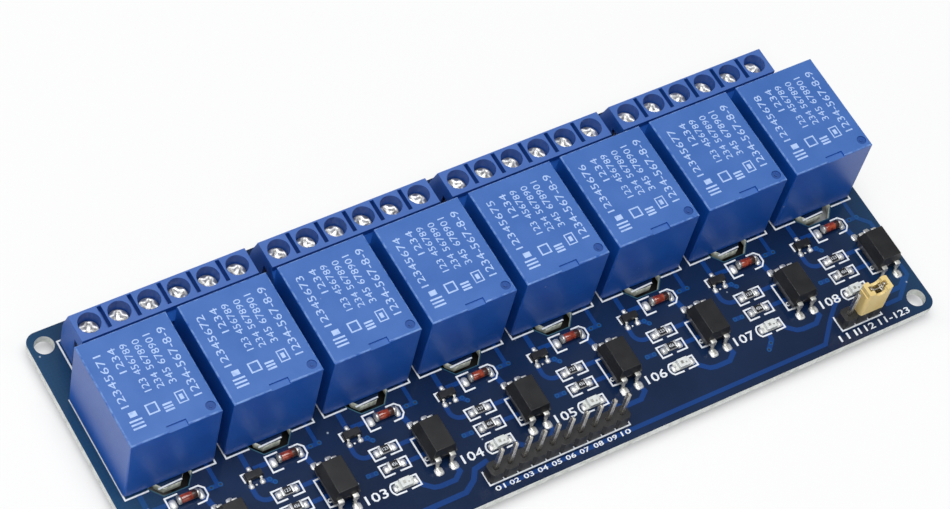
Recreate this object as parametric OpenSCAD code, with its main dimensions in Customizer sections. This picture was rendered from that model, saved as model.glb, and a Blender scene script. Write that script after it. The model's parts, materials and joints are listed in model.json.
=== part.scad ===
// Eight-channel relay module: a circuit board with eight sugar-cube relays in a row, four
// six-pole screw terminal blocks behind them, and in front one driver stage per relay with
// an optocoupler, a transistor, a diode, two resistors and a lamp, and two pin headers.
// X runs along the board, Y from the headers to the terminals, Z up. The origin is under
// the middle of the board, at the ends of the pins that stand out below it.

/* [Board] */
// Length of the circuit board
board_l = 137; // [136:0.5:150]
// Depth of the circuit board, from the headers to the terminals
board_w = 55.4; // [54.4:0.2:64]
// Thickness of the circuit board
board_t = 1.6; // [1:0.1:2]
// Radius of the board's corners
board_corner_r = 2; // [0.5:0.5:3]
// Diameter of the four mounting holes
mount_hole_d = 3.2; // [2.5:0.1:3.6]
// Distance from each mounting hole to the board's end
hole_end_inset = 2.5; // [2.3:0.1:3.2]
// Distance from each mounting hole to the board's long edge
hole_side_inset = 2.7; // [2.4:0.1:3.2]
// How far the relay and terminal pins stand out below the board
pin_tail = 2; // [1.5:0.1:3]
// Widest part of the solder round each pin
solder_d = 2; // [1.8:0.05:2.2]
// Height of the solder cone round each pin
solder_h = 1.1; // [0.8:0.1:1.4]

/* [Relays] */
// Distance between neighbouring relays
relay_pitch = 16.9; // [16.5:0.1:17.4]
// Width of a relay along the board
relay_w = 15.3; // [15:0.1:15.8]
// Length of a relay across the board
relay_l = 19; // [18.8:0.1:19.4]
// Height of a relay above the board
relay_h = 15.3; // [15.1:0.1:16.4]
// Wall of the relay's cover
cover_wall = 0.75; // [0.6:0.05:0.9]
// Top wall of the relay's cover
cover_top_t = 0.8; // [0.6:0.05:0.9]
// Radius of the cover's upright edges
cover_edge_r = 0.6; // [0.4:0.05:0.7]
// How far each side of the cover draws in from its foot to its top
cover_draft = 0.15; // [0.05:0.05:0.2]
// Radius round the cover's top
cover_top_r = 0.3; // [0.2:0.05:0.5]
// Thickness of the relay's base plate
base_t = 1.35; // [1.2:0.05:1.5]
// Height of the feet under the relay's base
base_foot_h = 0.35; // [0.25:0.05:0.5]
// Gap between the relays and the terminal blocks
relay_terminal_gap = 1.6; // [1.2:0.1:1.8]
// Distance from the relay's front face to its common pin
com_pin_inset = 1.7; // [1.6:0.05:1.8]
// Distance from the common pin back to the coil pins
coil_pin_back = 2; // [1.9:0.05:2.1]
// Distance from the relay's back face to the two contact pins
contact_pin_inset = 3.1; // [3:0.05:3.25]
// Distance from the middle to a coil or contact pin
side_pin_x = 6; // [5.95:0.05:6.1]
// Overall width of the milled slot that runs round the common pin
slot_l = 7.2; // [6.8:0.1:7.4]
// How far the slot reaches in front of the common pin
slot_reach = 3.8; // [3.5:0.1:4]
// Length of the slot's straight front
slot_front_l = 4; // [3:0.1:4.4]
// Width of the milled cut
slot_w = 1.2; // [1:0.05:1.3]

/* [Relay mechanism] */
// Thickness of the yoke's steel
yoke_t = 1.2; // [1.1:0.05:1.25]
// Width of the yoke
yoke_w = 9; // [8.5:0.1:9.2]
// Outer diameter of the coil's winding
winding_d = 9.8; // [9:0.1:9.9]
// Outer diameter of the bobbin's tube
bobbin_tube_d = 5.2; // [5:0.1:5.6]
// Diameter of the iron core
core_d = 4; // [3.6:0.1:4.2]
// Diameter of the core's pole head
pole_d = 6.4; // [6:0.1:7]
// Room left between the highest contact strip and the inside of the cover
cover_room = 0.1; // [0.06:0.02:0.4]
// Thickness of the bobbin's flanges
flange_t = 0.8; // [0.7:0.05:0.9]
// Thickness of the core's pole head
pole_t = 0.55; // [0.45:0.05:0.6]
// Thickness of the armature plate
armature_t = 0.9; // [0.8:0.05:0.95]
// Width of the armature plate
armature_w = 8; // [7.5:0.1:8.5]
// Angle by which the released armature stands off the pole
armature_lift = 2.4; // [2.2:0.05:2.5]
// Thickness of the moving contact spring
spring_t = 0.25; // [0.2:0.01:0.28]
// Thickness of the fixed contact strips
strip_t = 0.35; // [0.3:0.01:0.38]
// Diameter of the contact buttons
button_d = 2; // [1.8:0.1:2.2]

/* [Terminal blocks] */
// Distance between neighbouring poles
pole_pitch = 5; // [4.95:0.01:5.08]
// Distance between neighbouring blocks
block_pitch = 32.2; // [31.9:0.1:33]
// Height of a block above the board
block_h = 10.2; // [10:0.1:11]
// Depth of a block across the board
block_d = 7.6; // [7.5:0.1:8]
// Distance from the board's back edge to the blocks
block_back_margin = 3.3; // [2.5:0.1:3.5]
// Diameter of the screw wells
well_d = 3.6; // [3.5:0.05:3.7]
// Width of a wire entry
wire_w = 3.6; // [3.4:0.1:3.7]
// Height of a wire entry
wire_h = 3.8; // [3.4:0.1:4]
// Diameter of a screw's head
screw_head_d = 3.2; // [3:0.05:3.3]
// Diameter of a screw's shank
screw_shank_d = 2.5; // [2.2:0.1:2.6]
// Wall of the rising cage
cage_wall = 0.5; // [0.4:0.05:0.6]

/* [Headers] */
// Distance between neighbouring header pins
header_pitch = 2.54; // [2.5:0.01:2.56]
// Height of the header's plastic strip
header_h = 2.54; // [2.3:0.02:2.8]
// Side of a header pin's square section
header_pin_w = 0.64; // [0.5:0.02:0.66]
// Length of header pin above its strip
header_pin_up = 6; // [5.8:0.1:6.5]
// Length of header pin below its strip
header_pin_down = 3; // [2.6:0.1:3.4]
// Distance from the board's front edge to the header pins
header_inset = 3.8; // [3.6:0.1:4.2]
// Middle of the ten-pin header, from the middle of the board
input_header_x = -2.72; // [-4:0.01:0]
// Distance from the board's right end to the middle of the three-pin header
power_header_inset = 13.56; // [13:0.02:15]
// Height of the jumper cap
jumper_h = 6; // [5.8:0.1:6.2]

/* [Small parts] */
// Width of an optocoupler's body along the board
opto_w = 4.6; // [4.4:0.1:4.8]
// Length of an optocoupler's body
opto_l = 6.5; // [6.3:0.1:6.7]
// Height of an optocoupler above the board
opto_h = 3.9; // [3.7:0.1:4.1]
// Length of a diode
diode_l = 3.5; // [3.2:0.1:3.7]
// Diameter of a diode
diode_d = 1.45; // [1.3:0.05:1.6]
// Length of a resistor
resistor_l = 2; // [1.9:0.05:2.2]
// Width of a resistor
resistor_w = 1.25; // [1.1:0.05:1.3]
// Length of an indicator lamp
led_l = 3.1; // [2.9:0.1:3.3]
// Width of an indicator lamp
led_w = 1.5; // [1.4:0.05:1.6]

/* [Hidden] */
$fn = 48;

// counts that the board is laid out for
relay_count = 8;
block_count = 4;
pole_count = 6;
input_pin_count = 10;
power_pin_count = 3;

// colours
board_blue = [0.06, 0.12, 0.30];
cover_blue = [0.16, 0.32, 0.68];
terminal_blue = [0.20, 0.32, 0.70];
plastic_black = [0.09, 0.09, 0.10];
tin = [0.80, 0.80, 0.78];
brass = [0.80, 0.66, 0.34];
copper = [0.72, 0.38, 0.22];
steel = [0.62, 0.62, 0.63];

// clearances
fit = 0.05;            // between parts pushed or slid into one another
seat = 0.02;           // under parts that are soldered down
touch = 0.05;          // between contacts or iron faces that meet at the end of travel
eps = 0.01;            // overlap of a cutting tool past the face it cuts

// levels and lines of the board
board_top = pin_tail + board_t;
block_back_y = board_w / 2 - block_back_margin;
block_front_y = block_back_y - block_d;
relay_y = block_front_y - relay_terminal_gap - relay_l / 2;
relay_front_y = relay_y - relay_l / 2;
header_y = -board_w / 2 + header_inset;
power_header_x = board_l / 2 - power_header_inset;

// milled slot: where its slanted corners start in front of the pin, and its end behind it
slot_shoulder = 1.8;
slot_back = 1.2;

// pins and the holes they pass through
flat_pin_w = 1;
flat_pin_t = 0.45;
coil_pin_d = 0.6;
pole_pin_w = 0.9;
pole_pin_t = 0.7;
pin_hole_clear = 0.12;
flat_pin_r = sqrt(flat_pin_w * flat_pin_w + flat_pin_t * flat_pin_t) / 2;
pole_pin_r = sqrt(pole_pin_w * pole_pin_w + pole_pin_t * pole_pin_t) / 2;
header_pin_r = header_pin_w * sqrt(2) / 2;

// relay mechanism, measured from the board's top and the relay's middle
com_y = -relay_l / 2 + com_pin_inset;
coil_pin_y = com_y + coil_pin_back;
contact_pin_y = relay_l / 2 - contact_pin_inset;
inner_w = relay_w - 2 * cover_wall;
inner_l = relay_l - 2 * cover_wall;
inner_top = relay_h - cover_top_t;
base_top = base_foot_h + base_t;
yoke_front_y = com_y + strip_t / 2 + fit;
yoke_base_top = base_top + yoke_t;
flange_top = yoke_base_top + flange_t;
flange_rim = 0.5;
coil_gap = 0.8;
coil_y = yoke_front_y + yoke_t + winding_d / 2 + coil_gap;
bobbin_half_l = winding_d / 2 + flange_rim;
hinge_y = yoke_front_y;
armature_heel = 0.4;
armature_gap = 1.5;
strip_half_w = 1.15;
armature_end_y = contact_pin_y - strip_half_w - armature_gap;
button_offset = 0.4;
button_y = contact_pin_y + button_offset;
button_h = 0.35;
spring_w = 3.2;
spring_root = 3;
spring_end = 1.3;
rivet_d = 1.2;
rivet_h = 0.2;
rivet_inset = 1.2;
// the mechanism fills the height below the cover: from the highest strip down to the pole,
// with the travel of the moving button, and what is left above the base is the winding
travel_z = (button_y - hinge_y) * sin(armature_lift);
closed_strip_top = inner_top - cover_room;
closed_button_bottom = closed_strip_top - strip_t - button_h + eps;
moving_button_top = closed_button_bottom - travel_z - 2 * touch;
armature_top = moving_button_top - button_h - spring_t;
armature_bottom = armature_top - armature_t;
pole_top = armature_bottom - touch;
pole_base = pole_top - pole_t;
winding_top = pole_base - flange_t;
winding_h = winding_top - flange_top;
hinge_z = pole_top;
// the open contact stands just clear of the moving button when the armature is drawn in
moving_button_bottom = armature_top - button_h;
open_button_top = moving_button_bottom - touch;

// terminal block, measured from the board's top and the block's back face
block_l = pole_count * pole_pitch - 0.1;
block_wall = 0.8;
block_step_z = 4.8;
block_step = 0.15;
block_lean_z = 6.53;
block_lean = 0.45;
block_top_setback = 1.6;
block_front_step = 1.1;
block_front_step_h = 1.2;
cell_w = pole_pitch - 0.9;
screw_y = -block_d / 2 - 0.1;
wire_floor = 1.6;
tongue_t = 0.8;
cage_window_top = wire_floor + wire_h + 0.2;
tongue_top = cage_window_top - 0.2;
cage_top_t = 1.2;
cage_top = cage_window_top + cage_top_t;
cage_floor_t = 0.6;
cage_w = cell_w - 0.5;
cage_d = 4;
screw_head_h = 1.1;
screw_head_z = cage_top + 0.15;
shelf_z = screw_head_z + 0.1;
contact_leg_y = -block_d + block_wall + fit + pole_pin_t / 2;

// header cell
cell_corner = 0.45;
header_d = 2.5;

// --------------------------------------------------------------------------
// shared shapes

// flat outline of a rectangle with round corners, about the origin
module rounded_rect(l, w, r) {
    square([l, w - 2 * r], center = true);
    square([l - 2 * r, w], center = true);
    for (sx = [-1, 1], sy = [-1, 1])
        translate([sx * (l / 2 - r), sy * (w / 2 - r)]) circle(r);
}

// upright outline that stands on the origin, with sides that draw in and round top corners
module rounded_arch(l, h, r, draft) {
    lean = atan2(draft, h);
    mid = l / 2 - draft * (h - r) / h - r / cos(lean);
    side = mid + r * cos(lean);
    side_z = h - r + r * sin(lean);
    polygon([[-l / 2, 0], [l / 2, 0], [side, side_z], [mid, h], [-mid, h], [-side, side_z]]);
    for (sx = [-1, 1])
        translate([sx * mid, h - r]) circle(r);
}

// block with round upright edges, sides that draw in and a round rim at its top
module soft_box(l, w, h, side_r, top_r, draft) {
    intersection() {
        linear_extrude(h) rounded_rect(l, w, side_r);
        translate([0, w / 2, 0]) rotate([90, 0, 0]) linear_extrude(w) rounded_arch(l, h, top_r, draft);
        translate([-l / 2, 0, 0]) rotate([90, 0, 90]) linear_extrude(l) rounded_arch(w, h, top_r, draft);
    }
}

// box centred in X and Y that stands on z0
module post(l, w, z0, z1) {
    translate([-l / 2, -w / 2, z0]) cube([l, w, z1 - z0]);
}

// box between two corners
module span(a, b) {
    translate(a) cube(b - a);
}

// moulded body whose four sides draw in above and below the parting line
module moulded_body(l, w, z0, z1, parting, draft, left_lean = undef) {
    intersection() {
        translate([0, w / 2, 0]) rotate([90, 0, 0]) linear_extrude(w)
            drafted_side(l, z0, z1, parting, draft, is_undef(left_lean) ? draft : left_lean);
        translate([-l / 2, 0, 0]) rotate([90, 0, 90]) linear_extrude(l)
            drafted_side(w, z0, z1, parting, draft, draft);
    }
}

module drafted_side(l, z0, z1, parting, draft, left_lean) {
    polygon([
        [-l / 2 + draft, z0], [l / 2 - draft, z0], [l / 2, parting],
        [l / 2 - draft, z1], [-l / 2 + left_lean, z1], [-l / 2, parting]
    ]);
}

// square pin with a pointed end at each end
module square_pin(w, z0, z1, point) {
    intersection() {
        translate([0, w / 2, 0]) rotate([90, 0, 0]) linear_extrude(w) pin_outline(w, z0, z1, point);
        translate([-w / 2, 0, 0]) rotate([90, 0, 90]) linear_extrude(w) pin_outline(w, z0, z1, point);
    }
}

module pin_outline(w, z0, z1, point) {
    tip = w / 2 - point / 2;
    polygon([
        [-tip, z0], [tip, z0], [w / 2, z0 + point], [w / 2, z1 - point],
        [tip, z1], [-tip, z1], [-w / 2, z1 - point], [-w / 2, z0 + point]
    ]);
}

// lead that leaves a body sideways along +Y, bends down and ends in a flat foot
module gull_lead(exit_z, root, knee, foot, t, wide, narrow) {
    intersection() {
        translate([-wide / 2, 0, 0]) rotate([90, 0, 90]) linear_extrude(wide)
            polygon([
                [-root, exit_z], [knee - t, exit_z], [knee - t, t / 2], [knee, seat],
                [knee + foot, seat], [knee + foot, seat + t], [knee + t / 3, seat + t],
                [knee, seat + 1.5 * t], [knee, exit_z + t / 2], [knee - t / 2, exit_z + t],
                [-root, exit_z + t]
            ]);
        union() {
            span([-wide / 2, -root, exit_z * 0.6], [wide / 2, knee + foot, exit_z + t]);
            span([-narrow / 2, -root, 0], [narrow / 2, knee + foot, exit_z + t]);
        }
    }
}

// --------------------------------------------------------------------------
// places

function relay_x(i) = (i - (relay_count - 1) / 2) * relay_pitch;
function block_x(k) = (k - (block_count - 1) / 2) * block_pitch - 0.4;
function pole_x(k, p) = block_x(k) + (p - (pole_count - 1) / 2) * pole_pitch;
function input_pin_x(p) = input_header_x + (p - (input_pin_count - 1) / 2) * header_pitch;
function power_pin_x(p) = power_header_x + (p - (power_pin_count - 1) / 2) * header_pitch;

// small parts, from the middle of their relay's front edge, spread in rows over the field
// between the relays and the header
driver_d = relay_front_y - header_y - header_d / 2;
diode_at = [1, -0.212 * driver_d];
transistor_at = [-5.35, -0.255 * driver_d];
resistor_1_at = [-1.87, -0.491 * driver_d];
resistor_2_at = [-1.87, -0.647 * driver_d];
lamp_at = [-1.87, -0.833 * driver_d];
opto_at = [5.2, -0.615 * driver_d];

module at_relay(i) {
    translate([relay_x(i), relay_y, board_top]) children();
}

module at_small(i, place) {
    translate([relay_x(i) + place[0], relay_front_y + place[1], board_top]) children();
}

module each_relay() {
    for (i = [0 : relay_count - 1]) at_relay(i) children();
}

module each_small(place) {
    for (i = [0 : relay_count - 1]) at_small(i, place) children();
}

module each_pole() {
    for (k = [0 : block_count - 1], p = [0 : pole_count - 1])
        translate([pole_x(k, p), block_back_y, board_top]) children();
}

module each_input_pin() {
    for (p = [0 : input_pin_count - 1]) translate([input_pin_x(p), header_y, 0]) children();
}

module each_power_pin() {
    for (p = [0 : power_pin_count - 1]) translate([power_pin_x(p), header_y, 0]) children();
}

// a 2D or 3D child at every pin, each kind with its own radius: child 0 at the flat relay
// pins, 1 at the coil pins, 2 at the terminal pins and 3 at the header pins
module at_each_pin() {
    for (i = [0 : relay_count - 1]) translate([relay_x(i), relay_y]) {
        translate([0, com_y]) children(0);
        for (sx = [-1, 1]) {
            translate([sx * side_pin_x, contact_pin_y]) children(0);
            translate([sx * side_pin_x, coil_pin_y]) children(1);
        }
    }
    for (k = [0 : block_count - 1], p = [0 : pole_count - 1])
        translate([pole_x(k, p), block_back_y + contact_leg_y]) children(2);
    each_input_pin() children(3);
    each_power_pin() children(3);
}

// --------------------------------------------------------------------------
// board

// milled slot about the common pin: straight front, two slanted corners and two arms
module isolation_slot() {
    rise = slot_reach - slot_shoulder;
    slant = atan2(rise, (slot_l - slot_front_l) / 2);
    in_front = slot_front_l / 2 - slot_w * tan(slant / 2);
    in_shoulder = slot_shoulder - slot_w * tan(45 - slant / 2);
    difference() {
        slot_outline(slot_l / 2, slot_front_l / 2, slot_reach, slot_shoulder, slot_back);
        slot_outline(slot_l / 2 - slot_w, in_front, slot_reach - slot_w, in_shoulder, slot_back + eps);
    }
}

module slot_outline(half_l, half_front, reach, shoulder, back) {
    polygon([
        [-half_l, back], [-half_l, -shoulder], [-half_front, -reach],
        [half_front, -reach], [half_l, -shoulder], [half_l, back]
    ]);
}

module circuit_board() {
    color(board_blue) translate([0, 0, pin_tail]) linear_extrude(board_t) difference() {
        rounded_rect(board_l, board_w, board_corner_r);
        for (sx = [-1, 1], sy = [-1, 1])
            translate([sx * (board_l / 2 - hole_end_inset), sy * (board_w / 2 - hole_side_inset)])
                circle(mount_hole_d / 2);
        for (i = [0 : relay_count - 1])
            translate([relay_x(i), relay_y + com_y]) isolation_slot();
        at_each_pin() {
            circle(flat_pin_r + pin_hole_clear);
            circle(coil_pin_d / 2 + pin_hole_clear);
            circle(pole_pin_r + pin_hole_clear);
            circle(header_pin_r + pin_hole_clear);
        }
    }
}

// cone of solder under the board, hollow to just clear a pin of radius r
module solder_cone(r) {
    translate([0, 0, pin_tail]) rotate_extrude()
        polygon([
            [r, 0], [solder_d / 2, 0], [solder_d / 2 - 0.1, -solder_h * 0.12],
            [r + 0.25, -solder_h * 0.6], [r + 0.08, -solder_h], [r, -solder_h]
        ]);
}

module solder_joints() {
    color(tin) at_each_pin() {
        solder_cone(flat_pin_r + seat);
        solder_cone(coil_pin_d / 2 + seat);
        solder_cone(pole_pin_r + seat);
        solder_cone(header_pin_r + seat);
    }
}

// --------------------------------------------------------------------------
// terminal blocks

// side outline: upright front, top that sets back, and a sloping wire side
module block_outline() {
    polygon([
        [0, 0], [-block_step, block_step_z], [-block_lean, block_lean_z],
        [-block_top_setback, block_h], [-block_d + block_front_step, block_h],
        [-block_d + block_front_step, block_h - block_front_step_h],
        [-block_d, block_h - 2 * block_front_step_h], [-block_d, 0]
    ]);
}

module dovetail(grow) {
    y0 = -block_d * 0.62;
    polygon([
        [-eps, y0 - 0.5 - grow], [0.55 + grow, y0 - 0.8 - grow],
        [0.55 + grow, y0 + 0.8 + grow], [-eps, y0 + 0.5 + grow]
    ]);
}

module terminal_housing(k) {
    color(terminal_blue) translate([block_x(k), block_back_y, board_top]) {
        difference() {
            translate([-block_l / 2, 0, 0]) rotate([90, 0, 90]) linear_extrude(block_l) block_outline();
            translate([-block_l / 2, 0, -eps]) linear_extrude(block_h - 2.8) dovetail(fit);
            for (p = [0 : pole_count - 1])
                translate([(p - (pole_count - 1) / 2) * pole_pitch, 0, 0]) terminal_cell();
            for (p = [1 : pole_count - 1])
                translate([(p - pole_count / 2) * pole_pitch, 0, 0])
                    span([-0.35, -block_d + 1.75, block_h - 1.7], [0.35, -1.85, block_h + eps]);
        }
        translate([block_l / 2, 0, 0]) linear_extrude(block_h - 3) dovetail(0);
    }
}

// hollow of one pole: cage room open below, screw well above and wire entry at the back
module terminal_cell() {
    span([-cell_w / 2, -block_d + block_wall, -eps], [cell_w / 2, -0.9, shelf_z]);
    translate([0, screw_y, shelf_z - eps]) cylinder(h = block_h, d = well_d);
    span([-wire_w / 2, -2, wire_floor], [wire_w / 2, 1, wire_floor + wire_h]);
}

module terminal_screws() {
    color(tin) each_pole() translate([0, screw_y, 0]) difference() {
        union() {
            translate([0, 0, screw_head_z]) cylinder(h = screw_head_h, d = screw_head_d);
            translate([0, 0, tongue_top + touch])
                cylinder(h = screw_head_z - tongue_top - touch + eps, d = screw_shank_d);
        }
        for (a = [25, 115]) rotate([0, 0, a])
            span([-0.3, -screw_head_d * 0.42, screw_head_z + 0.5],
                 [0.3, screw_head_d * 0.42, screw_head_z + screw_head_h + eps]);
    }
}

module terminal_cages() {
    color(tin) each_pole() translate([0, screw_y, 0]) difference() {
        post(cage_w, cage_d, wire_floor - cage_floor_t, cage_top);
        post(cage_w - 2 * cage_wall, cage_d + 2 * eps, wire_floor, cage_window_top);
        cylinder(h = block_h, d = screw_shank_d + 2 * fit);
    }
}

// bent contact: a tongue through the cage and a leg that goes down through the board
module terminal_contacts() {
    color(brass) each_pole() {
        span([-1.2, contact_leg_y - pole_pin_t / 2, tongue_top - tongue_t], [1.2, screw_y + 1.3, tongue_top]);
        span([-1.2, contact_leg_y - pole_pin_t / 2, 0.1], [1.2, contact_leg_y + pole_pin_t / 2, tongue_top]);
        span([-pole_pin_w / 2, contact_leg_y - pole_pin_t / 2, -board_top],
             [pole_pin_w / 2, contact_leg_y + pole_pin_t / 2, 0.2]);
    }
}

// --------------------------------------------------------------------------
// relays

module relay_cover(i) {
    mark_x = relay_w / 2 - 1.45;
    mark_y = -relay_l / 2 + 1.6;
    color(cover_blue) at_relay(i) difference() {
        translate([0, 0, base_foot_h])
            soft_box(relay_w, relay_l, relay_h - base_foot_h, cover_edge_r, cover_top_r, cover_draft);
        post(inner_w, inner_l, 0, inner_top);
        // round mark with a stub in its middle, at one corner of the top
        difference() {
            translate([mark_x, mark_y, relay_h - 0.25]) cylinder(h = 1, d = 1.6);
            translate([mark_x, mark_y, relay_h - 0.3]) cylinder(h = 0.2, d = 0.45);
        }
        // shallow step in the middle of the front edge
        span([-1.3, -relay_l / 2 - eps, relay_h - 0.4], [1.9, -relay_l / 2 + 1.2, relay_h + eps]);
    }
}

module relay_bases() {
    color(cover_blue) each_relay() difference() {
        union() {
            post(inner_w - 2 * fit, inner_l - 2 * fit, base_foot_h, base_top);
            for (sx = [-1, 1], sy = [-1, 1])
                translate([sx * (inner_w / 2 - 1), sy * (inner_l / 2 - 0.8), 0]) post(1.2, 1.2, 0, base_top);
        }
        translate([0, com_y, 0]) post(flat_pin_w + 2 * fit, flat_pin_t + 2 * fit, -eps, relay_h);
        for (sx = [-1, 1]) {
            translate([sx * side_pin_x, contact_pin_y, 0])
                post(flat_pin_t + 2 * fit, flat_pin_w + 2 * fit, -eps, relay_h);
            translate([sx * side_pin_x, coil_pin_y, -eps]) cylinder(h = relay_h, d = coil_pin_d + 2 * fit);
        }
    }
}

module relay_bobbins() {
    color("ivory") each_relay() difference() {
        union() {
            translate([0, coil_y, 0]) {
                post(2 * bobbin_half_l, 2 * bobbin_half_l, yoke_base_top, flange_top);
                post(2 * bobbin_half_l, 2 * bobbin_half_l, winding_top, pole_base);
                cylinder(h = pole_base, d = bobbin_tube_d);
            }
            // ears that hold the two coil pins
            for (sx = [-1, 1])
                span([sx > 0 ? yoke_w / 2 + 0.2 : -side_pin_x - 0.7, coil_pin_y - 0.7, yoke_base_top],
                     [sx > 0 ? side_pin_x + 0.7 : -yoke_w / 2 - 0.2, coil_y, flange_top]);
        }
        translate([0, coil_y, -eps]) cylinder(h = relay_h, d = core_d + 2 * fit);
        post(relay_w, relay_l, -1, yoke_base_top);
        for (sx = [-1, 1])
            translate([sx * side_pin_x, coil_pin_y, 0]) cylinder(h = relay_h, d = coil_pin_d + 2 * fit);
    }
}

module relay_windings() {
    color(copper) each_relay() translate([0, coil_y, flange_top + seat]) difference() {
        cylinder(h = winding_h - 2 * seat, d = winding_d);
        translate([0, 0, -eps]) cylinder(h = winding_h + 1, d = bobbin_tube_d + 2 * fit);
    }
}

module relay_cores() {
    color(steel) each_relay() translate([0, coil_y, 0]) {
        translate([0, 0, base_top + 0.1]) cylinder(h = pole_base - base_top, d = core_d);
        translate([0, 0, pole_base + seat]) cylinder(h = pole_t - seat, d = pole_d);
    }
}

module relay_yokes() {
    color(steel) each_relay() difference() {
        union() {
            span([-yoke_w / 2, yoke_front_y, base_top], [yoke_w / 2, yoke_front_y + yoke_t, hinge_z]);
            span([-yoke_w / 2, yoke_front_y, base_top], [yoke_w / 2, coil_y + core_d, yoke_base_top]);
        }
        translate([0, coil_y, 0]) cylinder(h = yoke_base_top + eps, d = core_d + 2 * fit);
    }
}

// turns its children up about the hinge line by the released armature's angle
module released() {
    translate([0, hinge_y, hinge_z]) rotate([armature_lift, 0, 0]) translate([0, -hinge_y, -hinge_z]) children();
}

module relay_armature(i) {
    color(steel) at_relay(i) released() {
        span([-armature_w / 2, hinge_y - armature_heel, armature_bottom],
             [armature_w / 2, armature_end_y, armature_top]);
    }
}

// moving contact: a springy strip on the armature with a button through its free end
module relay_spring(i) {
    color(copper) at_relay(i) released() {
        span([-spring_w / 2, hinge_y + spring_root, armature_top],
             [spring_w / 2, button_y + spring_end, armature_top + spring_t]);
        for (y = [hinge_y + spring_root + rivet_inset, armature_end_y - rivet_inset])
            translate([0, y, armature_top + spring_t - eps]) cylinder(h = rivet_h, d = rivet_d);
        translate([0, button_y, armature_top + spring_t - eps]) cylinder(h = button_h + eps, d = button_d);
        translate([0, button_y, moving_button_bottom]) cylinder(h = button_h + eps, d = button_d);
    }
}

// common terminal: stands in front of the yoke and curls over the armature's heel
module relay_common_strips() {
    heel_top = armature_top + 0.35;
    color(copper) each_relay() {
        span([-flat_pin_w / 2, com_y - flat_pin_t / 2, -board_top],
             [flat_pin_w / 2, com_y + strip_t / 2, base_top + 1]);
        span([-2, com_y - flat_pin_t / 2 - 0.35, base_top + seat], [2, com_y - flat_pin_t / 2, heel_top]);
        span([-2, com_y - flat_pin_t / 2 - 0.35, base_top + seat], [2, com_y + strip_t / 2, base_top + 1]);
        span([-2, com_y - flat_pin_t / 2 - 0.35, heel_top], [2, hinge_y + 1.6, heel_top + spring_t]);
    }
}

// upright strip from a contact pin, bent in over the middle; side is -1 or 1
module fixed_contact(side, strip_z, button_z) {
    x_out = side * (side_pin_x + strip_t / 2);
    x_in = side * (side_pin_x - strip_t / 2);
    translate([side * side_pin_x, contact_pin_y, 0]) post(flat_pin_t, flat_pin_w, -board_top, base_top + 0.5);
    span([min(x_out, x_in), contact_pin_y - strip_half_w, base_top + seat],
         [max(x_out, x_in), contact_pin_y + strip_half_w, strip_z + strip_t]);
    span([min(x_out, -side * 1.2), contact_pin_y - strip_half_w, strip_z],
         [max(x_out, -side * 1.2), contact_pin_y + strip_half_w + 0.6, strip_z + strip_t]);
    translate([0, button_y, button_z]) cylinder(h = button_h, d = button_d);
}

module relay_open_contacts() {
    color(copper) each_relay()
        fixed_contact(1, open_button_top - button_h - strip_t + eps, open_button_top - button_h);
}

module relay_closed_contacts() {
    color(copper) each_relay()
        fixed_contact(-1, closed_strip_top - strip_t, closed_button_bottom);
}

module relay_coil_pins() {
    color(tin) each_relay() for (sx = [-1, 1])
        translate([sx * side_pin_x, coil_pin_y, -board_top]) cylinder(h = board_top + flange_top + 0.6, d = coil_pin_d);
}

// --------------------------------------------------------------------------
// headers and jumper

module header_cell() {
    polygon([
        [-header_pitch / 2 - eps, -header_d / 2 + cell_corner], [-header_pitch / 2 + cell_corner, -header_d / 2],
        [header_pitch / 2 - cell_corner, -header_d / 2], [header_pitch / 2 + eps, -header_d / 2 + cell_corner],
        [header_pitch / 2 + eps, header_d / 2 - cell_corner], [header_pitch / 2 - cell_corner, header_d / 2],
        [-header_pitch / 2 + cell_corner, header_d / 2], [-header_pitch / 2 - eps, header_d / 2 - cell_corner]
    ]);
}

module header_strip_cell() {
    translate([0, 0, board_top + seat]) linear_extrude(header_h - seat) difference() {
        header_cell();
        square(header_pin_w + 2 * seat, center = true);
    }
}

module input_header_strip() {
    color(plastic_black) each_input_pin() header_strip_cell();
}

module input_header_pins() {
    color(brass) each_input_pin() header_pin();
}

module power_header_strip() {
    color(plastic_black) each_power_pin() header_strip_cell();
}

module power_header_pins() {
    color(brass) each_power_pin() header_pin();
}

module header_pin() {
    square_pin(header_pin_w, board_top - min(header_pin_down, board_top),
               board_top + header_h + header_pin_up, header_pin_w / 2);
}

jumper_x = (power_pin_x(1) + power_pin_x(2)) / 2;
jumper_z = board_top + header_h + seat;
jumper_l = 2 * header_pitch - 0.1;
jumper_d = 2.5;
jumper_wall = 0.5;
jumper_slot = 0.65;
// opening between the lobes, and the round notch in both walls beside it
jumper_gap = 1.5;
jumper_notch_r = 0.9;
jumper_notch_lift = 0.05;
clip_bore = header_pin_w + 2 * fit;
clip_t = 0.25;
clip_h = jumper_h - 1;

module jumper_cap() {
    color([0.85, 0.72, 0.42]) translate([jumper_x, header_y, jumper_z]) difference() {
        linear_extrude(jumper_h) rounded_rect(jumper_l, jumper_d, 0.6);
        // room for the clip, open below
        post(jumper_l - 2 * jumper_wall, jumper_d - 2 * jumper_wall, -eps, clip_h + 0.1);
        // open top: a hole over each pin and the slot that joins them
        for (sx = [-1, 1])
            translate([sx * header_pitch / 2, 0, 0]) post(clip_bore + 0.2, clip_bore + 0.2, 0, jumper_h + eps);
        post(header_pitch, jumper_slot, 0, jumper_h + eps);
        post(jumper_gap, jumper_d - 2 * jumper_wall, 0, jumper_h + eps);
        // finger notch through both walls, which leaves a lobe over each pin
        translate([0, -jumper_d / 2 - eps, jumper_h + jumper_notch_lift]) rotate([-90, 0, 0])
            cylinder(h = jumper_d + 2 * eps, r = jumper_notch_r);
    }
}

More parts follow.
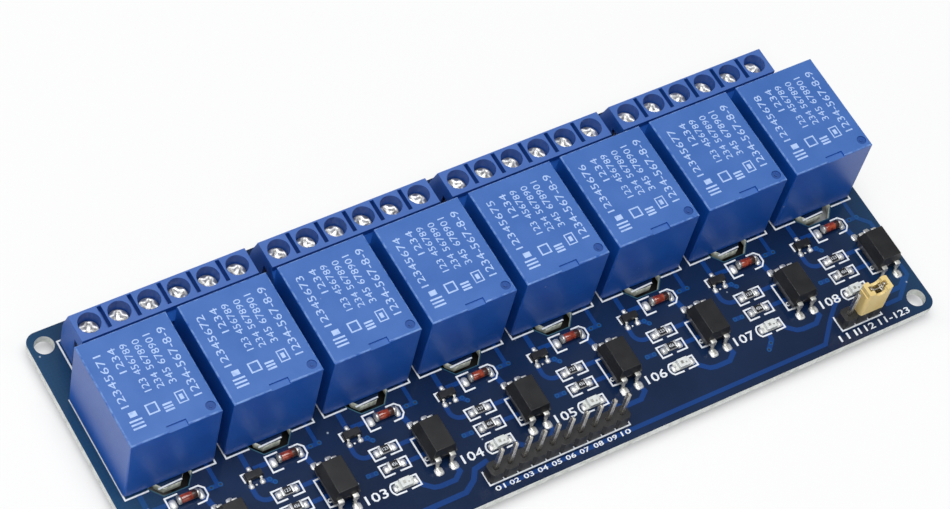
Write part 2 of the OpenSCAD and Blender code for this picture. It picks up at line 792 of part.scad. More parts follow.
// spring clip: a square sleeve for each pin and the bridge that joins them
module jumper_clip() {
    color(brass) translate([jumper_x, header_y, jumper_z]) difference() {
        union() {
            for (sx = [-1, 1])
                translate([sx * header_pitch / 2, 0, 0])
                    post(clip_bore + 2 * clip_t, clip_bore + 2 * clip_t, 0.2, clip_h);
            post(header_pitch, clip_t, clip_h * 0.4, clip_h);
        }
        for (sx = [-1, 1])
            translate([sx * header_pitch / 2, 0, 0]) post(clip_bore, clip_bore, 0, clip_h + eps);
    }
}

// --------------------------------------------------------------------------
// small parts in front of each relay

opto_parting = 2.2;
opto_lead_t = 0.25;
opto_lead_root = 0.5;
opto_lead_w = 0.95;
// lean of the upper wall on the side of the first pin
opto_lean = 0.85;

module optocoupler_bodies() {
    color(plastic_black) each_small(opto_at) difference() {
        moulded_body(opto_w, opto_l, 0.35, opto_h, opto_parting, 0.4, opto_lean);
        for (sx = [-1, 1], sy = [-1, 1]) translate([sx * header_pitch / 2, sy * opto_l / 2, 0])
            post(opto_lead_w, 2 * opto_lead_root, opto_parting - opto_lead_t / 2, opto_parting + opto_lead_t / 2);
    }
}

module optocoupler_leads() {
    color(tin) each_small(opto_at)
        for (sx = [-1, 1], a = [0, 180]) rotate([0, 0, a])
            translate([sx * header_pitch / 2, opto_l / 2, 0])
                gull_lead(opto_parting - opto_lead_t / 2, opto_lead_root, 0.6, 1.05, opto_lead_t, opto_lead_w, 0.55);
}

transistor_w = 2.9;
transistor_d = 1.3;
transistor_parting = 0.55;
transistor_lead_t = 0.12;
// leads of a transistor: place along X and the side they leave from
transistor_leads_at = [[-0.95, 180], [0.95, 180], [0, 0]];

module transistor_bodies() {
    color(plastic_black) each_small(transistor_at) difference() {
        moulded_body(transistor_w, transistor_d, 0.08, 1.05, transistor_parting, 0.1);
        for (lead = transistor_leads_at) rotate([0, 0, lead[1]])
            translate([lead[0] * cos(lead[1]), transistor_d / 2, 0])
                post(0.42, 0.5, transistor_parting - transistor_lead_t / 2, transistor_parting + transistor_lead_t / 2);
    }
}

module transistor_leads() {
    color(tin) each_small(transistor_at)
        for (lead = transistor_leads_at) rotate([0, 0, lead[1]])
            translate([lead[0] * cos(lead[1]), transistor_d / 2, 0])
                gull_lead(transistor_parting - transistor_lead_t / 2, 0.25, 0.3, 0.35, transistor_lead_t, 0.42, 0.42);
}

diode_cap_l = 0.45;

module diode_glass() {
    glass_l = diode_l - 2 * diode_cap_l;
    color([0.72, 0.25, 0.12]) each_small(diode_at)
        translate([-glass_l / 2, 0, diode_d / 2 + seat]) rotate([0, 90, 0]) cylinder(h = glass_l, d = diode_d - 0.1);
}

module diode_caps() {
    color(tin) each_small(diode_at) for (sx = [-1, 1])
        translate([sx * (diode_l - diode_cap_l) / 2, 0, diode_d / 2 + seat]) rotate([0, 90, 0])
            cylinder(h = diode_cap_l, d = diode_d, center = true);
}

resistor_h = 0.5;
plating = 0.04;
resistor_cap_l = 0.35;

module each_resistor() {
    each_small(resistor_1_at) children();
    each_small(resistor_2_at) children();
}

module resistor_bodies() {
    color(plastic_black) each_resistor() post(resistor_l, resistor_w, seat + plating, seat + plating + resistor_h);
}

module resistor_caps() {
    color(tin) each_resistor() for (sx = [-1, 1]) difference() {
        translate([sx * (resistor_l / 2 + plating - resistor_cap_l / 2), 0, 0])
            post(resistor_cap_l, resistor_w + 2 * plating, seat, seat + 2 * plating + resistor_h);
        post(resistor_l, resistor_w, seat + plating, seat + plating + resistor_h);
    }
}

lamp_base_h = 0.35;

module lamp_bases() {
    color("white") each_small(lamp_at) difference() {
        post(led_l, led_w, seat, seat + lamp_base_h);
        // half-round castellations at the two ends
        for (sx = [-1, 1]) translate([sx * led_l / 2, 0, 0]) cylinder(h = 1, d = 0.6);
    }
}

module lamp_lenses() {
    lens_l = led_l - 1.1;
    color([0.92, 0.92, 0.86]) each_small(lamp_at)
        translate([0, led_w / 2, seat + lamp_base_h]) rotate([90, 0, 0]) linear_extrude(led_w)
            polygon([[-lens_l / 2, 0], [lens_l / 2, 0], [lens_l / 2 - 0.1, 0.65], [-lens_l / 2 + 0.1, 0.65]]);
}

// --------------------------------------------------------------------------

circuit_board();
solder_joints();
terminal_housing(0);  // terminal_housing_1
terminal_housing(1);  // terminal_housing_2
terminal_housing(2);  // terminal_housing_3
terminal_housing(3);  // terminal_housing_4
terminal_screws();
terminal_cages();
terminal_contacts();
relay_cover(0);  // relay_cover_1
relay_cover(1);  // relay_cover_2
relay_cover(2);  // relay_cover_3
relay_cover(3);  // relay_cover_4
relay_cover(4);  // relay_cover_5
relay_cover(5);  // relay_cover_6
relay_cover(6);  // relay_cover_7
relay_cover(7);  // relay_cover_8
relay_armature(0);  // relay_armature_1
relay_armature(1);  // relay_armature_2
relay_armature(2);  // relay_armature_3
relay_armature(3);  // relay_armature_4
relay_armature(4);  // relay_armature_5
relay_armature(5);  // relay_armature_6
relay_armature(6);  // relay_armature_7
relay_armature(7);  // relay_armature_8
relay_spring(0);  // relay_spring_1
relay_spring(1);  // relay_spring_2
relay_spring(2);  // relay_spring_3
relay_spring(3);  // relay_spring_4
relay_spring(4);  // relay_spring_5
relay_spring(5);  // relay_spring_6
relay_spring(6);  // relay_spring_7
relay_spring(7);  // relay_spring_8
relay_bases();
relay_bobbins();
relay_windings();
relay_cores();
relay_yokes();
relay_common_strips();
relay_open_contacts();
relay_closed_contacts();
relay_coil_pins();
input_header_strip();
input_header_pins();
power_header_strip();
power_header_pins();
jumper_cap();
jumper_clip();
optocoupler_bodies();
optocoupler_leads();
transistor_bodies();
transistor_leads();
diode_glass();
diode_caps();
resistor_bodies();
resistor_caps();
lamp_bases();
lamp_lenses();
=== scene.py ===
import json
import math

import bmesh
import bpy
from mathutils import Matrix, Vector

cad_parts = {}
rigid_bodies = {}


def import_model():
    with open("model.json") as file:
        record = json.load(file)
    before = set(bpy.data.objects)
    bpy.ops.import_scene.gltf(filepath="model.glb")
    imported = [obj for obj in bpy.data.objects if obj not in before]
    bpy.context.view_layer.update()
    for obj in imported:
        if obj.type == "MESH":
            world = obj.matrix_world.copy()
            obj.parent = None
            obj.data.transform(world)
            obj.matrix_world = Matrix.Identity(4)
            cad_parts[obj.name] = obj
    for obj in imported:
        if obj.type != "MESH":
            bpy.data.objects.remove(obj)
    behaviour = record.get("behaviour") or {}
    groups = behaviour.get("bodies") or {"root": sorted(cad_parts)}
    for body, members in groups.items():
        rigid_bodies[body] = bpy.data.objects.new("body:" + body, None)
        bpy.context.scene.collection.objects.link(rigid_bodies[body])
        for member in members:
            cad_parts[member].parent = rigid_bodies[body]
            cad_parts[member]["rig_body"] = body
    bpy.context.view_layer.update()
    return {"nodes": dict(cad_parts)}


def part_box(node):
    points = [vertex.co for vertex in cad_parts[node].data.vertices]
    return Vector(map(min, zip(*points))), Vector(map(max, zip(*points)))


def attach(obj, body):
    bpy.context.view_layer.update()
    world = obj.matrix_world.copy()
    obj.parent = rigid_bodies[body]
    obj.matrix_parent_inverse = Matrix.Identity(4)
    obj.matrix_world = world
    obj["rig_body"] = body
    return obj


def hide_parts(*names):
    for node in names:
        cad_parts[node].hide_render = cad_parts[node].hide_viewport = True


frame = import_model()

# Circuit board: a routed panel of woven glass laminate, 1.6 mm thick, drilled and slotted.
# Both faces wear a thin, glossy blue solder mask, and the cut edges and slots are bare.
MM = 0.001
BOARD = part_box("circuit_board")
BOARD_TOP, BOARD_FOOT = BOARD[1].z, BOARD[0].z
BOARD_LEFT = BOARD[0].x
SLOT_ENDS = 66
SLOT_FRONT, SLOT_BACK = -9, 2


def new_finish(name, colour, roughness, metallic=0.0):
    """Material with a Principled shader; returns it with its node tree and its shader."""
    material = bpy.data.materials.new(name)
    material.use_nodes = True
    shader = material.node_tree.nodes["Principled BSDF"]
    shader.inputs["Base Color"].default_value = (*colour, 1)
    shader.inputs["Roughness"].default_value = roughness
    shader.inputs["Metallic"].default_value = metallic
    material.diffuse_color = (*colour, 1)
    return material, material.node_tree, shader


def feed(tree, socket, value):
    """Sets a node's input to another node's output, a number or a colour of three parts."""
    if isinstance(value, bpy.types.NodeSocket):
        tree.links.new(value, socket)
    else:
        socket.default_value = (*value, 1) if isinstance(value, tuple) else value


def reckon(tree, operation, first, second=None):
    """Math node on sockets or numbers; returns its result."""
    node = tree.nodes.new("ShaderNodeMath")
    node.operation = operation
    feed(tree, node.inputs[0], first)
    if second is not None:
        feed(tree, node.inputs[1], second)
    return node.outputs[0]


def spread(tree, value, low, high, start=0.0, end=1.0, ease="LINEAR"):
    """Maps a value socket from start..end to low..high."""
    node = tree.nodes.new("ShaderNodeMapRange")
    node.interpolation_type = ease
    for label, amount in (("Value", value), ("From Min", start), ("From Max", end), ("To Min", low),
                          ("To Max", high)):
        feed(tree, node.inputs[label], amount)
    return node.outputs["Result"]


def blend_colours(tree, factor, first, second):
    """Mix of two colours, each a triple or a socket, by a factor socket; returns the result."""
    mix = tree.nodes.new("ShaderNodeMix")
    mix.data_type = "RGBA"
    feed(tree, mix.inputs["Factor"], factor)
    feed(tree, mix.inputs[6], first)
    feed(tree, mix.inputs[7], second)
    return mix.outputs[2]


def dress(tree, shader, colour, rough=None, bumps=None):
    """Feeds a shader's colour, roughness and bumps: a height, a strength and a depth in mm."""
    feed(tree, shader.inputs["Base Color"], colour)
    if rough:
        feed(tree, shader.inputs["Roughness"], rough)
    if bumps:
        height, strength, depth = bumps
        bump = tree.nodes.new("ShaderNodeBump")
        bump.inputs["Strength"].default_value = strength
        bump.inputs["Distance"].default_value = depth * MM
        feed(tree, bump.inputs["Height"], height)
        feed(tree, shader.inputs["Normal"], bump.outputs["Normal"])


def along_axes(tree, kind="Object"):
    """The X, Y and Z of a surface point, or of its normal, as three sockets."""
    axes = tree.nodes.new("ShaderNodeSeparateXYZ")
    feed(tree, axes.inputs["Vector"], tree.nodes.new("ShaderNodeTexCoord").outputs[kind])
    return axes.outputs


def bands(tree, direction, scale, distortion):
    """Wavy bands across a direction, as threads, plies and the turns of a wire have."""
    wave = tree.nodes.new("ShaderNodeTexWave")
    wave.bands_direction = direction
    wave.inputs["Scale"].default_value = scale
    wave.inputs["Distortion"].default_value = distortion
    feed(tree, wave.inputs["Vector"], tree.nodes.new("ShaderNodeTexCoord").outputs["Object"])
    return wave.outputs["Fac"]


def build_patina():
    """Group: cloudy drift, fine grain and sparse specks of dust over a surface."""
    group = bpy.data.node_groups.new("surface_patina", "ShaderNodeTree")
    for label, value in (("Cloud scale", 150.0), ("Grain scale", 3000.0), ("Speck scale", 400.0),
                         ("Speck share", 0.03)):
        socket = group.interface.new_socket(label, in_out="INPUT", socket_type="NodeSocketFloat")
        socket.default_value = value
    for label in ("Cloud", "Grain", "Specks"):
        group.interface.new_socket(label, in_out="OUTPUT", socket_type="NodeSocketFloat")
    given, made = group.nodes.new("NodeGroupInput").outputs, group.nodes.new("NodeGroupOutput").inputs
    place = group.nodes.new("ShaderNodeTexCoord").outputs["Object"]
    for label, detail in (("Cloud", 3.0), ("Grain", 2.0)):
        noise = group.nodes.new("ShaderNodeTexNoise")
        noise.inputs["Detail"].default_value = detail
        feed(group, noise.inputs["Vector"], place)
        feed(group, noise.inputs["Scale"], given[label + " scale"])
        feed(group, made[label], noise.outputs["Fac"])
    cells = group.nodes.new("ShaderNodeTexVoronoi")
    feed(group, cells.inputs["Vector"], place)
    feed(group, cells.inputs["Scale"], given["Speck scale"])
    pick = group.nodes.new("ShaderNodeSeparateColor")
    feed(group, pick.inputs["Color"], cells.outputs["Color"])
    chosen = reckon(group, "LESS_THAN", pick.outputs["Red"], given["Speck share"])
    near = spread(group, cells.outputs["Distance"], 0, 1, 0.17, 0.08)
    feed(group, made["Specks"], reckon(group, "MULTIPLY", chosen, near))
    return group


patina = build_patina()


def add_patina(tree, cloud, grain, speck=400.0, share=0.0):
    """Places the patina in a material with its own sizes, in patches per metre; its outputs."""
    node = tree.nodes.new("ShaderNodeGroup")
    node.node_tree = patina
    for label, value in (("Cloud scale", cloud), ("Grain scale", grain), ("Speck scale", speck),
                         ("Speck share", share)):
        node.inputs[label].default_value = value
    return node.outputs


def clouded(tree, skin, start, end, first, second, most=1.0):
    """Blend of two colours over the range start..end of the patina's clouds."""
    return blend_colours(tree, spread(tree, skin["Cloud"], 0, most, start, end), first, second)


def solder_mask(name, deep, pale, teal):
    """Glossy mask with faint glass weave, cloudy depth and dust, more teal at the board's ends."""
    material, tree, shader = new_finish(name, deep, 0.3)
    skin = add_patina(tree, 90.0, 2600.0, 800.0, 0.03)
    colour = clouded(tree, skin, 0.35, 0.7, deep, pale)
    along = along_axes(tree)["X"]
    for edge, reach, most in ((BOARD_LEFT, 11 * MM, 1.0), (-BOARD_LEFT, -9 * MM, 0.65)):
        near_end = spread(tree, along, most, 0, edge, edge + reach)
        colour = blend_colours(tree, near_end, colour, teal)
    cloth = reckon(tree, "MULTIPLY", bands(tree, "X", 520.0, 1.2), bands(tree, "Y", 520.0, 1.2))
    colour = blend_colours(tree, spread(tree, cloth, 0, 0.22), colour, pale)
    colour = blend_colours(tree, skin["Specks"], colour, (0.35, 0.42, 0.5))
    dress(tree, shader, colour, spread(tree, skin["Grain"], 0.10, 0.24), (cloth, 0.12, 0.02))
    return material


def bare_laminate():
    """Cut edge of the laminate: pale green-grey resin with the glass plies seen end on."""
    material, tree, shader = new_finish("cut_laminate", (0.46, 0.52, 0.45), 0.75)
    skin = add_patina(tree, 700.0, 9000.0)
    colour = blend_colours(tree, bands(tree, "Z", 1400.0, 2.5), (0.70, 0.73, 0.69), (0.90, 0.91, 0.88))
    colour = clouded(tree, skin, 0.45, 0.75, colour, (0.50, 0.52, 0.47), most=0.8)
    dress(tree, shader, colour, bumps=(skin["Grain"], 0.5, 0.05))
    return material


def routed_laminate():
    """Walls of the milled slots: the same resin, torn and stained, darker towards the foot as painted shade,
    and with a painted glow.
    """
    material, tree, shader = new_finish("routed_laminate", (0.2, 0.22, 0.2), 0.85)
    skin = add_patina(tree, 1500.0, 7000.0)
    # painted shade: the walls darken from the board's top down to its foot
    depth = spread(tree, along_axes(tree)["Z"], 1, 0, BOARD_FOOT, BOARD_TOP)
    colour = clouded(tree, skin, 0.4, 0.62, (0.34, 0.37, 0.31), (0.74, 0.76, 0.68))
    colour = blend_colours(tree, depth, colour, (0.10, 0.11, 0.10))
    feed(tree, shader.inputs["Emission Color"], colour)  # painted glow: the walls give off light in their own colour, though they are no lamp
    shader.inputs["Emission Strength"].default_value = 0.38
    dress(tree, shader, colour, bumps=(skin["Cloud"], 0.8, 0.15))
    return material


mask_blue = solder_mask("solder_mask_blue", (0.0036, 0.0135, 0.047), (0.0068, 0.0210, 0.066),
                        (0.0140, 0.0600, 0.135))
edge_laminate = bare_laminate()
slot_laminate = routed_laminate()


def mesh_of(shape, name, *finishes):
    """Turns a bmesh into a mesh with the given materials; the bmesh goes."""
    mesh = bpy.data.meshes.new(name)
    shape.to_mesh(mesh)
    shape.free()
    for finish in finishes:
        mesh.materials.append(finish)
    return mesh


def new_object(name, data):
    """An object of a mesh, lettering, lamp or camera, set in the scene."""
    made = bpy.data.objects.new(name, data)
    bpy.context.scene.collection.objects.link(made)
    return made


def keep_mesh(mesh, name, body, slot, *replaced):
    """Makes a finished mesh a piece that rides on a body and stands for CAD nodes; the slot is not used."""
    piece = new_object(name, mesh)
    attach(piece, body)
    if replaced:
        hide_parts(*replaced)
    return piece


def solid_copy(node):
    """A merged copy of a CAD node's loose triangles, as an open bmesh."""
    shape = bmesh.new()
    shape.from_mesh(frame["nodes"][node].data)
    bmesh.ops.remove_doubles(shape, verts=shape.verts, dist=0.2e-6)
    return shape


shape = solid_copy("circuit_board")
for face in shape.faces:
    middle = face.calc_center_median()
    in_slot = abs(middle.x) < SLOT_ENDS * MM and SLOT_FRONT * MM < middle.y < SLOT_BACK * MM
    face.material_index = 0 if abs(face.normal.z) > 0.5 else 2 if in_slot else 1
board_mesh = mesh_of(shape, "board_panel", mask_blue, edge_laminate, slot_laminate)
board_mesh.set_sharp_from_angle(angle=math.radians(30))
for face in board_mesh.polygons:  # long thin triangles span the holes, so the wide faces stay flat
    face.use_smooth = face.material_index > 0
keep_mesh(board_mesh, "board_panel", "board", "solder_mask", "circuit_board")

# Copper tracks: etched 35 micron copper that shows as lighter blue where the mask covers it.
# Each of the eight channels has the same set in front of its relay, 16.9 mm apart.
CHANNELS = 8
CHANNEL_STEP = 16.9
CHANNEL_PITCH = CHANNEL_STEP * MM
TRACK_RISE = 0.035 * MM
SUNK = 0.002 * MM
HAIR = 0.0015 * MM
TRACK_LOW, TRACK_HIGH = BOARD_TOP - SUNK, BOARD_TOP + TRACK_RISE
track_blue = solder_mask("masked_copper_blue", (0.0055, 0.0400, 0.180), (0.0075, 0.0490, 0.210),
                         (0.0140, 0.0760, 0.200))


def ribbon(shape, path, width, z_low, z_high):
    """Adds a flat mitred strip along a path in mm to a bmesh, a hair higher than the one before."""
    z_high += HAIR * (len(shape.faces) // 9 % 12)
    points = [Vector((x, y)) * MM for x, y in path]
    half = width * MM / 2
    closed = (points[0] - points[-1]).length < 1e-9
    if closed:
        points = points[:-1]
    count = len(points)
    rings = []
    for i, point in enumerate(points):
        before = points[i - 1] if i > 0 or closed else None
        after = points[(i + 1) % count] if i < count - 1 or closed else None
        ways = [(end - start).normalized() for start, end in ((before, point), (point, after))
                if start is not None and end is not None]
        along = sum(ways, Vector((0, 0))).normalized()
        side = Vector((-along.y, along.x))
        reach = half / max(0.35, side.dot(Vector((-ways[0].y, ways[0].x))))
        left, right = point + side * reach, point - side * reach
        corners = ((left, z_low), (left, z_high), (right, z_high), (right, z_low))
        rings.append([shape.verts.new((p.x, p.y, z)) for p, z in corners])
    for i in range(count if closed else count - 1):
        ring, following = rings[i], rings[(i + 1) % count]
        for k in range(4):
            shape.faces.new((ring[k], ring[(k + 1) % 4], following[(k + 1) % 4], following[k]))
    if not closed:
        shape.faces.new(rings[0][::-1])
        shape.faces.new(rings[-1])


def strips(rows, z_low, z_high):
    """A bmesh of flat strips, each a width and a path in mm, from a foot to a top height."""
    shape = bmesh.new()
    for width, path in rows:
        ribbon(shape, path, width, z_low, z_high)
    return shape


def finish_mesh(shape, name, *finishes, smooth=None):
    """Turns a bmesh into a mesh with outward faces, the given materials and optional smoothing."""
    bmesh.ops.recalc_face_normals(shape, faces=shape.faces)
    mesh = mesh_of(shape, name, *finishes)
    if smooth is not None:
        mesh.shade_smooth()
        mesh.set_sharp_from_angle(angle=math.radians(smooth))
    return mesh


def build_rows_tree():
    """Geometry nodes: sets a piece out in rows along X, each copy turned a little, then joins them."""
    tree = bpy.data.node_groups.new("set_out_in_rows", "GeometryNodeTree")
    for label, kind, value in (
            ("Piece", "Geometry", None), ("Row count", "Int", 1), ("Row pitch", "Float", 0.0),
            ("Groups", "Int", 1), ("Group pitch", "Float", 0.0), ("Middle", "Vector", None),
            ("Largest turn", "Float", 0.0), ("Turn seed", "Int", 7), ("Finish", "Material", None)):
        socket = tree.interface.new_socket(label, in_out="INPUT", socket_type="NodeSocket" + kind)
        if value is not None:
            socket.default_value = value
    tree.interface.new_socket("Pieces", in_out="OUTPUT", socket_type="NodeSocketGeometry")
    given, made = tree.nodes.new("NodeGroupInput").outputs, tree.nodes.new("NodeGroupOutput").inputs

    def add(kind, **feeds):
        node = tree.nodes.new(kind)
        for label, source in feeds.items():
            feed(tree, node.inputs[label.replace("_", " ")], source)
        return node.outputs[0]

    def line(count, pitch):
        half = reckon(tree, "MULTIPLY", reckon(tree, "SUBTRACT", given[count], 1), -0.5)
        start = add("ShaderNodeCombineXYZ", X=reckon(tree, "MULTIPLY", half, given[pitch]))
        step = add("ShaderNodeCombineXYZ", X=given[pitch])
        return add("GeometryNodeMeshLine", Count=given[count], Start_Location=start, Offset=step)

    groups = add("GeometryNodeInstanceOnPoints", Points=line("Groups", "Group pitch"),
                 Instance=line("Row count", "Row pitch"))
    places = add("GeometryNodeRealizeInstances", Geometry=groups)
    moved = add("GeometryNodeTransform", Geometry=places, Translation=given["Middle"])
    turn = tree.nodes.new("FunctionNodeRandomValue")
    turn.data_type = "FLOAT"
    feed(tree, turn.inputs[2], 0.0)
    feed(tree, turn.inputs[3], given["Largest turn"])
    feed(tree, turn.inputs["Seed"], given["Turn seed"])
    about_z = add("ShaderNodeCombineXYZ", Z=turn.outputs[1])
    copies = add("GeometryNodeInstanceOnPoints", Points=moved, Instance=given["Piece"], Rotation=about_z)
    joined = add("GeometryNodeRealizeInstances", Geometry=copies)
    feed(tree, made["Pieces"], add("GeometryNodeSetMaterial", Geometry=joined, Material=given["Finish"]))
    return tree


rows_tree = build_rows_tree()


def plain_mesh(source, name):
    """The finished mesh of a piece with its modifiers run; the source goes."""
    graph = bpy.context.evaluated_depsgraph_get()
    result = bpy.data.meshes.new_from_object(source.evaluated_get(graph), preserve_all_data_layers=True,
                                             depsgraph=graph)
    result.name = name
    source.modifiers.clear()
    bpy.data.objects.remove(source)
    return result


def set_out(mesh, name, finish, count, pitch, groups=1, group_pitch=0.0, middle=(0, 0, 0), turn=0.0, seed=7):
    """Runs the rows tree on a piece's mesh and returns the joined result as a plain mesh."""
    source = new_object(name + "_source", mesh)
    rows = source.modifiers.new("rows", "NODES")
    rows.node_group = rows_tree
    inputs = [item for item in rows_tree.interface.items_tree if item.in_out == "INPUT"][1:]
    for item, value in zip(inputs, (count, pitch, groups, group_pitch, middle, turn, seed, finish)):
        rows[item.identifier] = value
    return plain_mesh(source, name)


def keep_shape(shape, name, finish, slot):
    """Makes a finished bmesh one piece on the board."""
    keep_mesh(finish_mesh(shape, name, finish), name, "board", slot)


def keep_channels(shape, name, finish, slot, smooth=None):
    """Sets one channel's pieces out in front of all eight relays, as one piece on the board."""
    mesh = finish_mesh(shape, name + "_set", smooth=smooth)
    keep_mesh(set_out(mesh, name, finish, CHANNELS, CHANNEL_PITCH), name, "board", slot)


def arc(centre, radius, start, end, steps=6):
    """Points of an arc, in mm and degrees, for a ribbon's path."""
    turns = [math.radians(start + (end - start) * k / steps) for k in range(steps + 1)]
    return [(centre[0] + radius * math.cos(a), centre[1] + radius * math.sin(a)) for a in turns]


channel_rows = (
    (0.85, [(-5.4, -4.0), (-5.4, -7.2)]),
    (0.7, [(6.1, -3.0), (6.1, -7.4)]),
    (0.75, [(3.9, -7.7), (5.3, -7.68), (6.8, -7.7)]),
    (0.8, [(-4.7, -7.45), (-1.6, -7.5)]),
    (0.8, [(-6.42, -10.2), (-6.42, -11.2)] + arc((-4.75, -11.4), 1.68, 185, 268, 8) + [(-3.9, -13.08)]),
    (0.75, [(-4.2, -9.95), (-3.3, -10.15), (-2.6, -10.95)]),
    (0.95, [(3.2, -8.5), (3.6, -9.4), (3.93, -11.0)]),
    (0.8, [(-6.7, -16.0), (-4.7, -16.05)]),
    (0.75, [(0.1, -13.15), (4.4, -13.15)]),
    (0.75, [(0.1, -16.25), (4.4, -16.25)]),
    (0.85, [(0.2, -19.9), (0.55, -20.7), (1.95, -21.9), (3.0, -22.15), (5.6, -22.15), (6.95, -21.1),
            (6.7, -20.0)]),
)
keep_channels(strips(channel_rows, TRACK_LOW, TRACK_HIGH), "channel_tracks", track_blue, "solder_mask")
long_rows = (
    (0.9, [(-48.0, -24.9), (-19.4, -24.75), (-17.3, -23.4), (-16.2, -21.8), (-13.6, -21.3)]),
    (0.75, [(-14.2, -26.15), (47.0, -26.15), (50.2, -22.75), (52.2, -20.9), (54.2, -19.4)]),
    (0.75, [(60.4, -24.0), (63.4, -24.0), (65.2, -22.4), (67.2, -20.6), (67.2, -9.6), (65.3, -7.6)]),
    (0.85, [(39.5, -20.4), (39.4, -21.6), (38.9, -22.15), (37.9, -23.15)]),
)
LONG_TRACK_HIGH = TRACK_HIGH + 0.02 * MM
keep_shape(strips(long_rows, TRACK_LOW, LONG_TRACK_HIGH), "long_tracks", track_blue, "solder_mask")

# Tracks of the underside: wide copper from each relay's contacts to its three terminal poles,
# and thinner runs from the drivers to the input header, under the same blue mask.
UNDER_LOW, UNDER_HIGH = BOARD_FOOT - TRACK_RISE, BOARD_FOOT + SUNK
under_rows = (
    (2.6, [(-6.0, 12.3), (-6.0, 14.9), (-4.6, 17.6)]),
    (2.6, [(6.0, 12.3), (6.0, 14.9), (4.6, 17.6)]),
    (2.8, [(0.0, -2.1), (0.0, 14.0), (0.4, 17.6)]),
    (0.8, [(-6.0, -0.1), (-6.0, -8.0), (-3.2, -10.6)]),
    (0.8, [(6.0, -0.1), (6.0, -7.7)]),
    (0.5, [(-5.0, -16.0), (1.6, -16.0), (2.6, -17.4), (2.6, -21.2)]),
)
keep_channels(strips(under_rows, UNDER_LOW, UNDER_HIGH), "underside_tracks", track_blue, "solder_mask")

# Slot rims: the two sides and the bent front of each milled isolation slot. Where the cutter
# ran, the mask is thin and the copper-green laminate shows through.
rim_teal = solder_mask("slot_rim_teal", (0.02, 0.075, 0.12), (0.05, 0.13, 0.17), (0.05, 0.13, 0.17))
rim_path = [(-3.68, -0.9), (-3.68, -3.93), (-2.04, -5.98), (2.04, -5.98), (3.68, -3.93), (3.68, -0.9)]
keep_channels(strips([(0.17, rim_path)], TRACK_LOW, TRACK_HIGH), "slot_rims", rim_teal, "solder_mask")

# White legend: screened epoxy ink on the mask, with an outline round every part.
# The places of the lettering hold plain numbers.
INK_RISE = 0.08
LEGEND_LOW, LEGEND_HIGH = BOARD_TOP - SUNK, BOARD_TOP + INK_RISE * MM
LINE = 0.26
PIN_STEP = 2.54
INPUT_PINS, INPUT_FIRST_PIN, INPUT_EDGE = 10, -14.15, -15.42
BLOCKS, BLOCK_STEP, BLOCK_SHIFT, BLOCK_HALF = 4, 32.2, -0.4, 15.3


def channel_middle(k):
    """Place along the board, in mm, of a channel counted from nought."""
    return (k - (CHANNELS - 1) / 2) * CHANNEL_STEP


def block_middle(k):
    """Place along the board, in mm, of a terminal block counted from nought."""
    return (k - (BLOCKS - 1) / 2) * BLOCK_STEP + BLOCK_SHIFT


def disc(shape, centre, radius, z_low, z_high, inner=0.0, sides=20):
    """Adds a flat round pad, or a ring where inner is given, in mm, to a bmesh."""
    turns = [2 * math.pi * k / sides for k in range(sides)]

    def ring(r, z):
        points = [(centre[0] + r * math.cos(a), centre[1] + r * math.sin(a)) for a in turns]
        return [shape.verts.new((x * MM, y * MM, z)) for x, y in points]

    outer_low, outer_high = ring(radius, z_low), ring(radius, z_high)
    if inner:
        inner_low, inner_high = ring(inner, z_low), ring(inner, z_high)
    for k in range(sides):
        j = (k + 1) % sides
        shape.faces.new((outer_low[k], outer_low[j], outer_high[j], outer_high[k]))
        if inner:
            shape.faces.new((outer_high[k], outer_high[j], inner_high[j], inner_high[k]))
            shape.faces.new((inner_low[j], inner_low[k], inner_high[k], inner_high[j]))
            shape.faces.new((outer_low[j], outer_low[k], inner_low[k], inner_low[j]))
    if not inner:
        shape.faces.new(outer_high)
        shape.faces.new(outer_low[::-1])


def ink(name, colour, paler_tone, scale):
    """Screened ink: even, slightly rough, thinner in small patches."""
    material, tree, shader = new_finish(name, colour, 0.6)
    skin = add_patina(tree, scale, 6000.0)
    tone = clouded(tree, skin, 0.5, 0.85, colour, paler_tone)
    dress(tree, shader, tone, spread(tree, skin["Grain"], 0.5, 0.75), (skin["Grain"], 0.3, 0.02))
    return material


legend_white = ink("legend_white", (0.82, 0.85, 0.88), (0.5, 0.56, 0.66), 900.0)
outlines = [
    [(-3.67, -4.2), (-7.6, -4.2), (-7.6, 14.7), (7.5, 14.7), (7.5, -4.2), (3.57, -4.2)],  # relay
    [(-2.3, -4.55), (1.75, -4.4)],
    [(-0.1, -6.42), (-2.25, -6.42), (-2.25, -9.35), (-0.43, -9.35)],  # diode
    [(1.85, -6.5), (3.35, -6.5), (4.05, -7.2), (4.05, -8.5), (3.4, -9.25), (1.9, -9.3)],
    [(-6.25, -7.7), (-6.98, -7.7), (-6.9, -9.2)],  # transistor
]
for y in (-13.18, -16.24):  # resistors
    outlines.append([(-2.3, y + 1.02), (-4.2, y + 1.02), (-4.12, y - 1.02), (-2.3, y - 1.02)])
    outlines.append([(-1.4, y + 0.95), (0.56, y + 0.95), (0.54, y - 0.98), (-1.4, y - 0.98)])
outlines += [
    [(-2.2, -18.63), (-3.75, -18.63)] + arc((-3.1, -19.62), 1.27, 130, 222, 8)
    + [(-3.9, -20.63), (-2.16, -20.68)],  # lamp, in two halves
    [(-1.3, -18.68), (0.42, -18.7), (0.48, -20.6), (-1.3, -20.66)],
    [(3.55, -13.15), (2.65, -13.15), (2.73, -18.2), (4.5, -18.33)],  # optocoupler
]
shape = strips([(LINE, path) for path in outlines], LEGEND_LOW, LEGEND_HIGH)
disc(shape, (3.27, -17.15), 0.38, LEGEND_LOW, LEGEND_HIGH, inner=0.2, sides=16)
keep_channels(shape, "channel_legend", legend_white, "solder_mask")

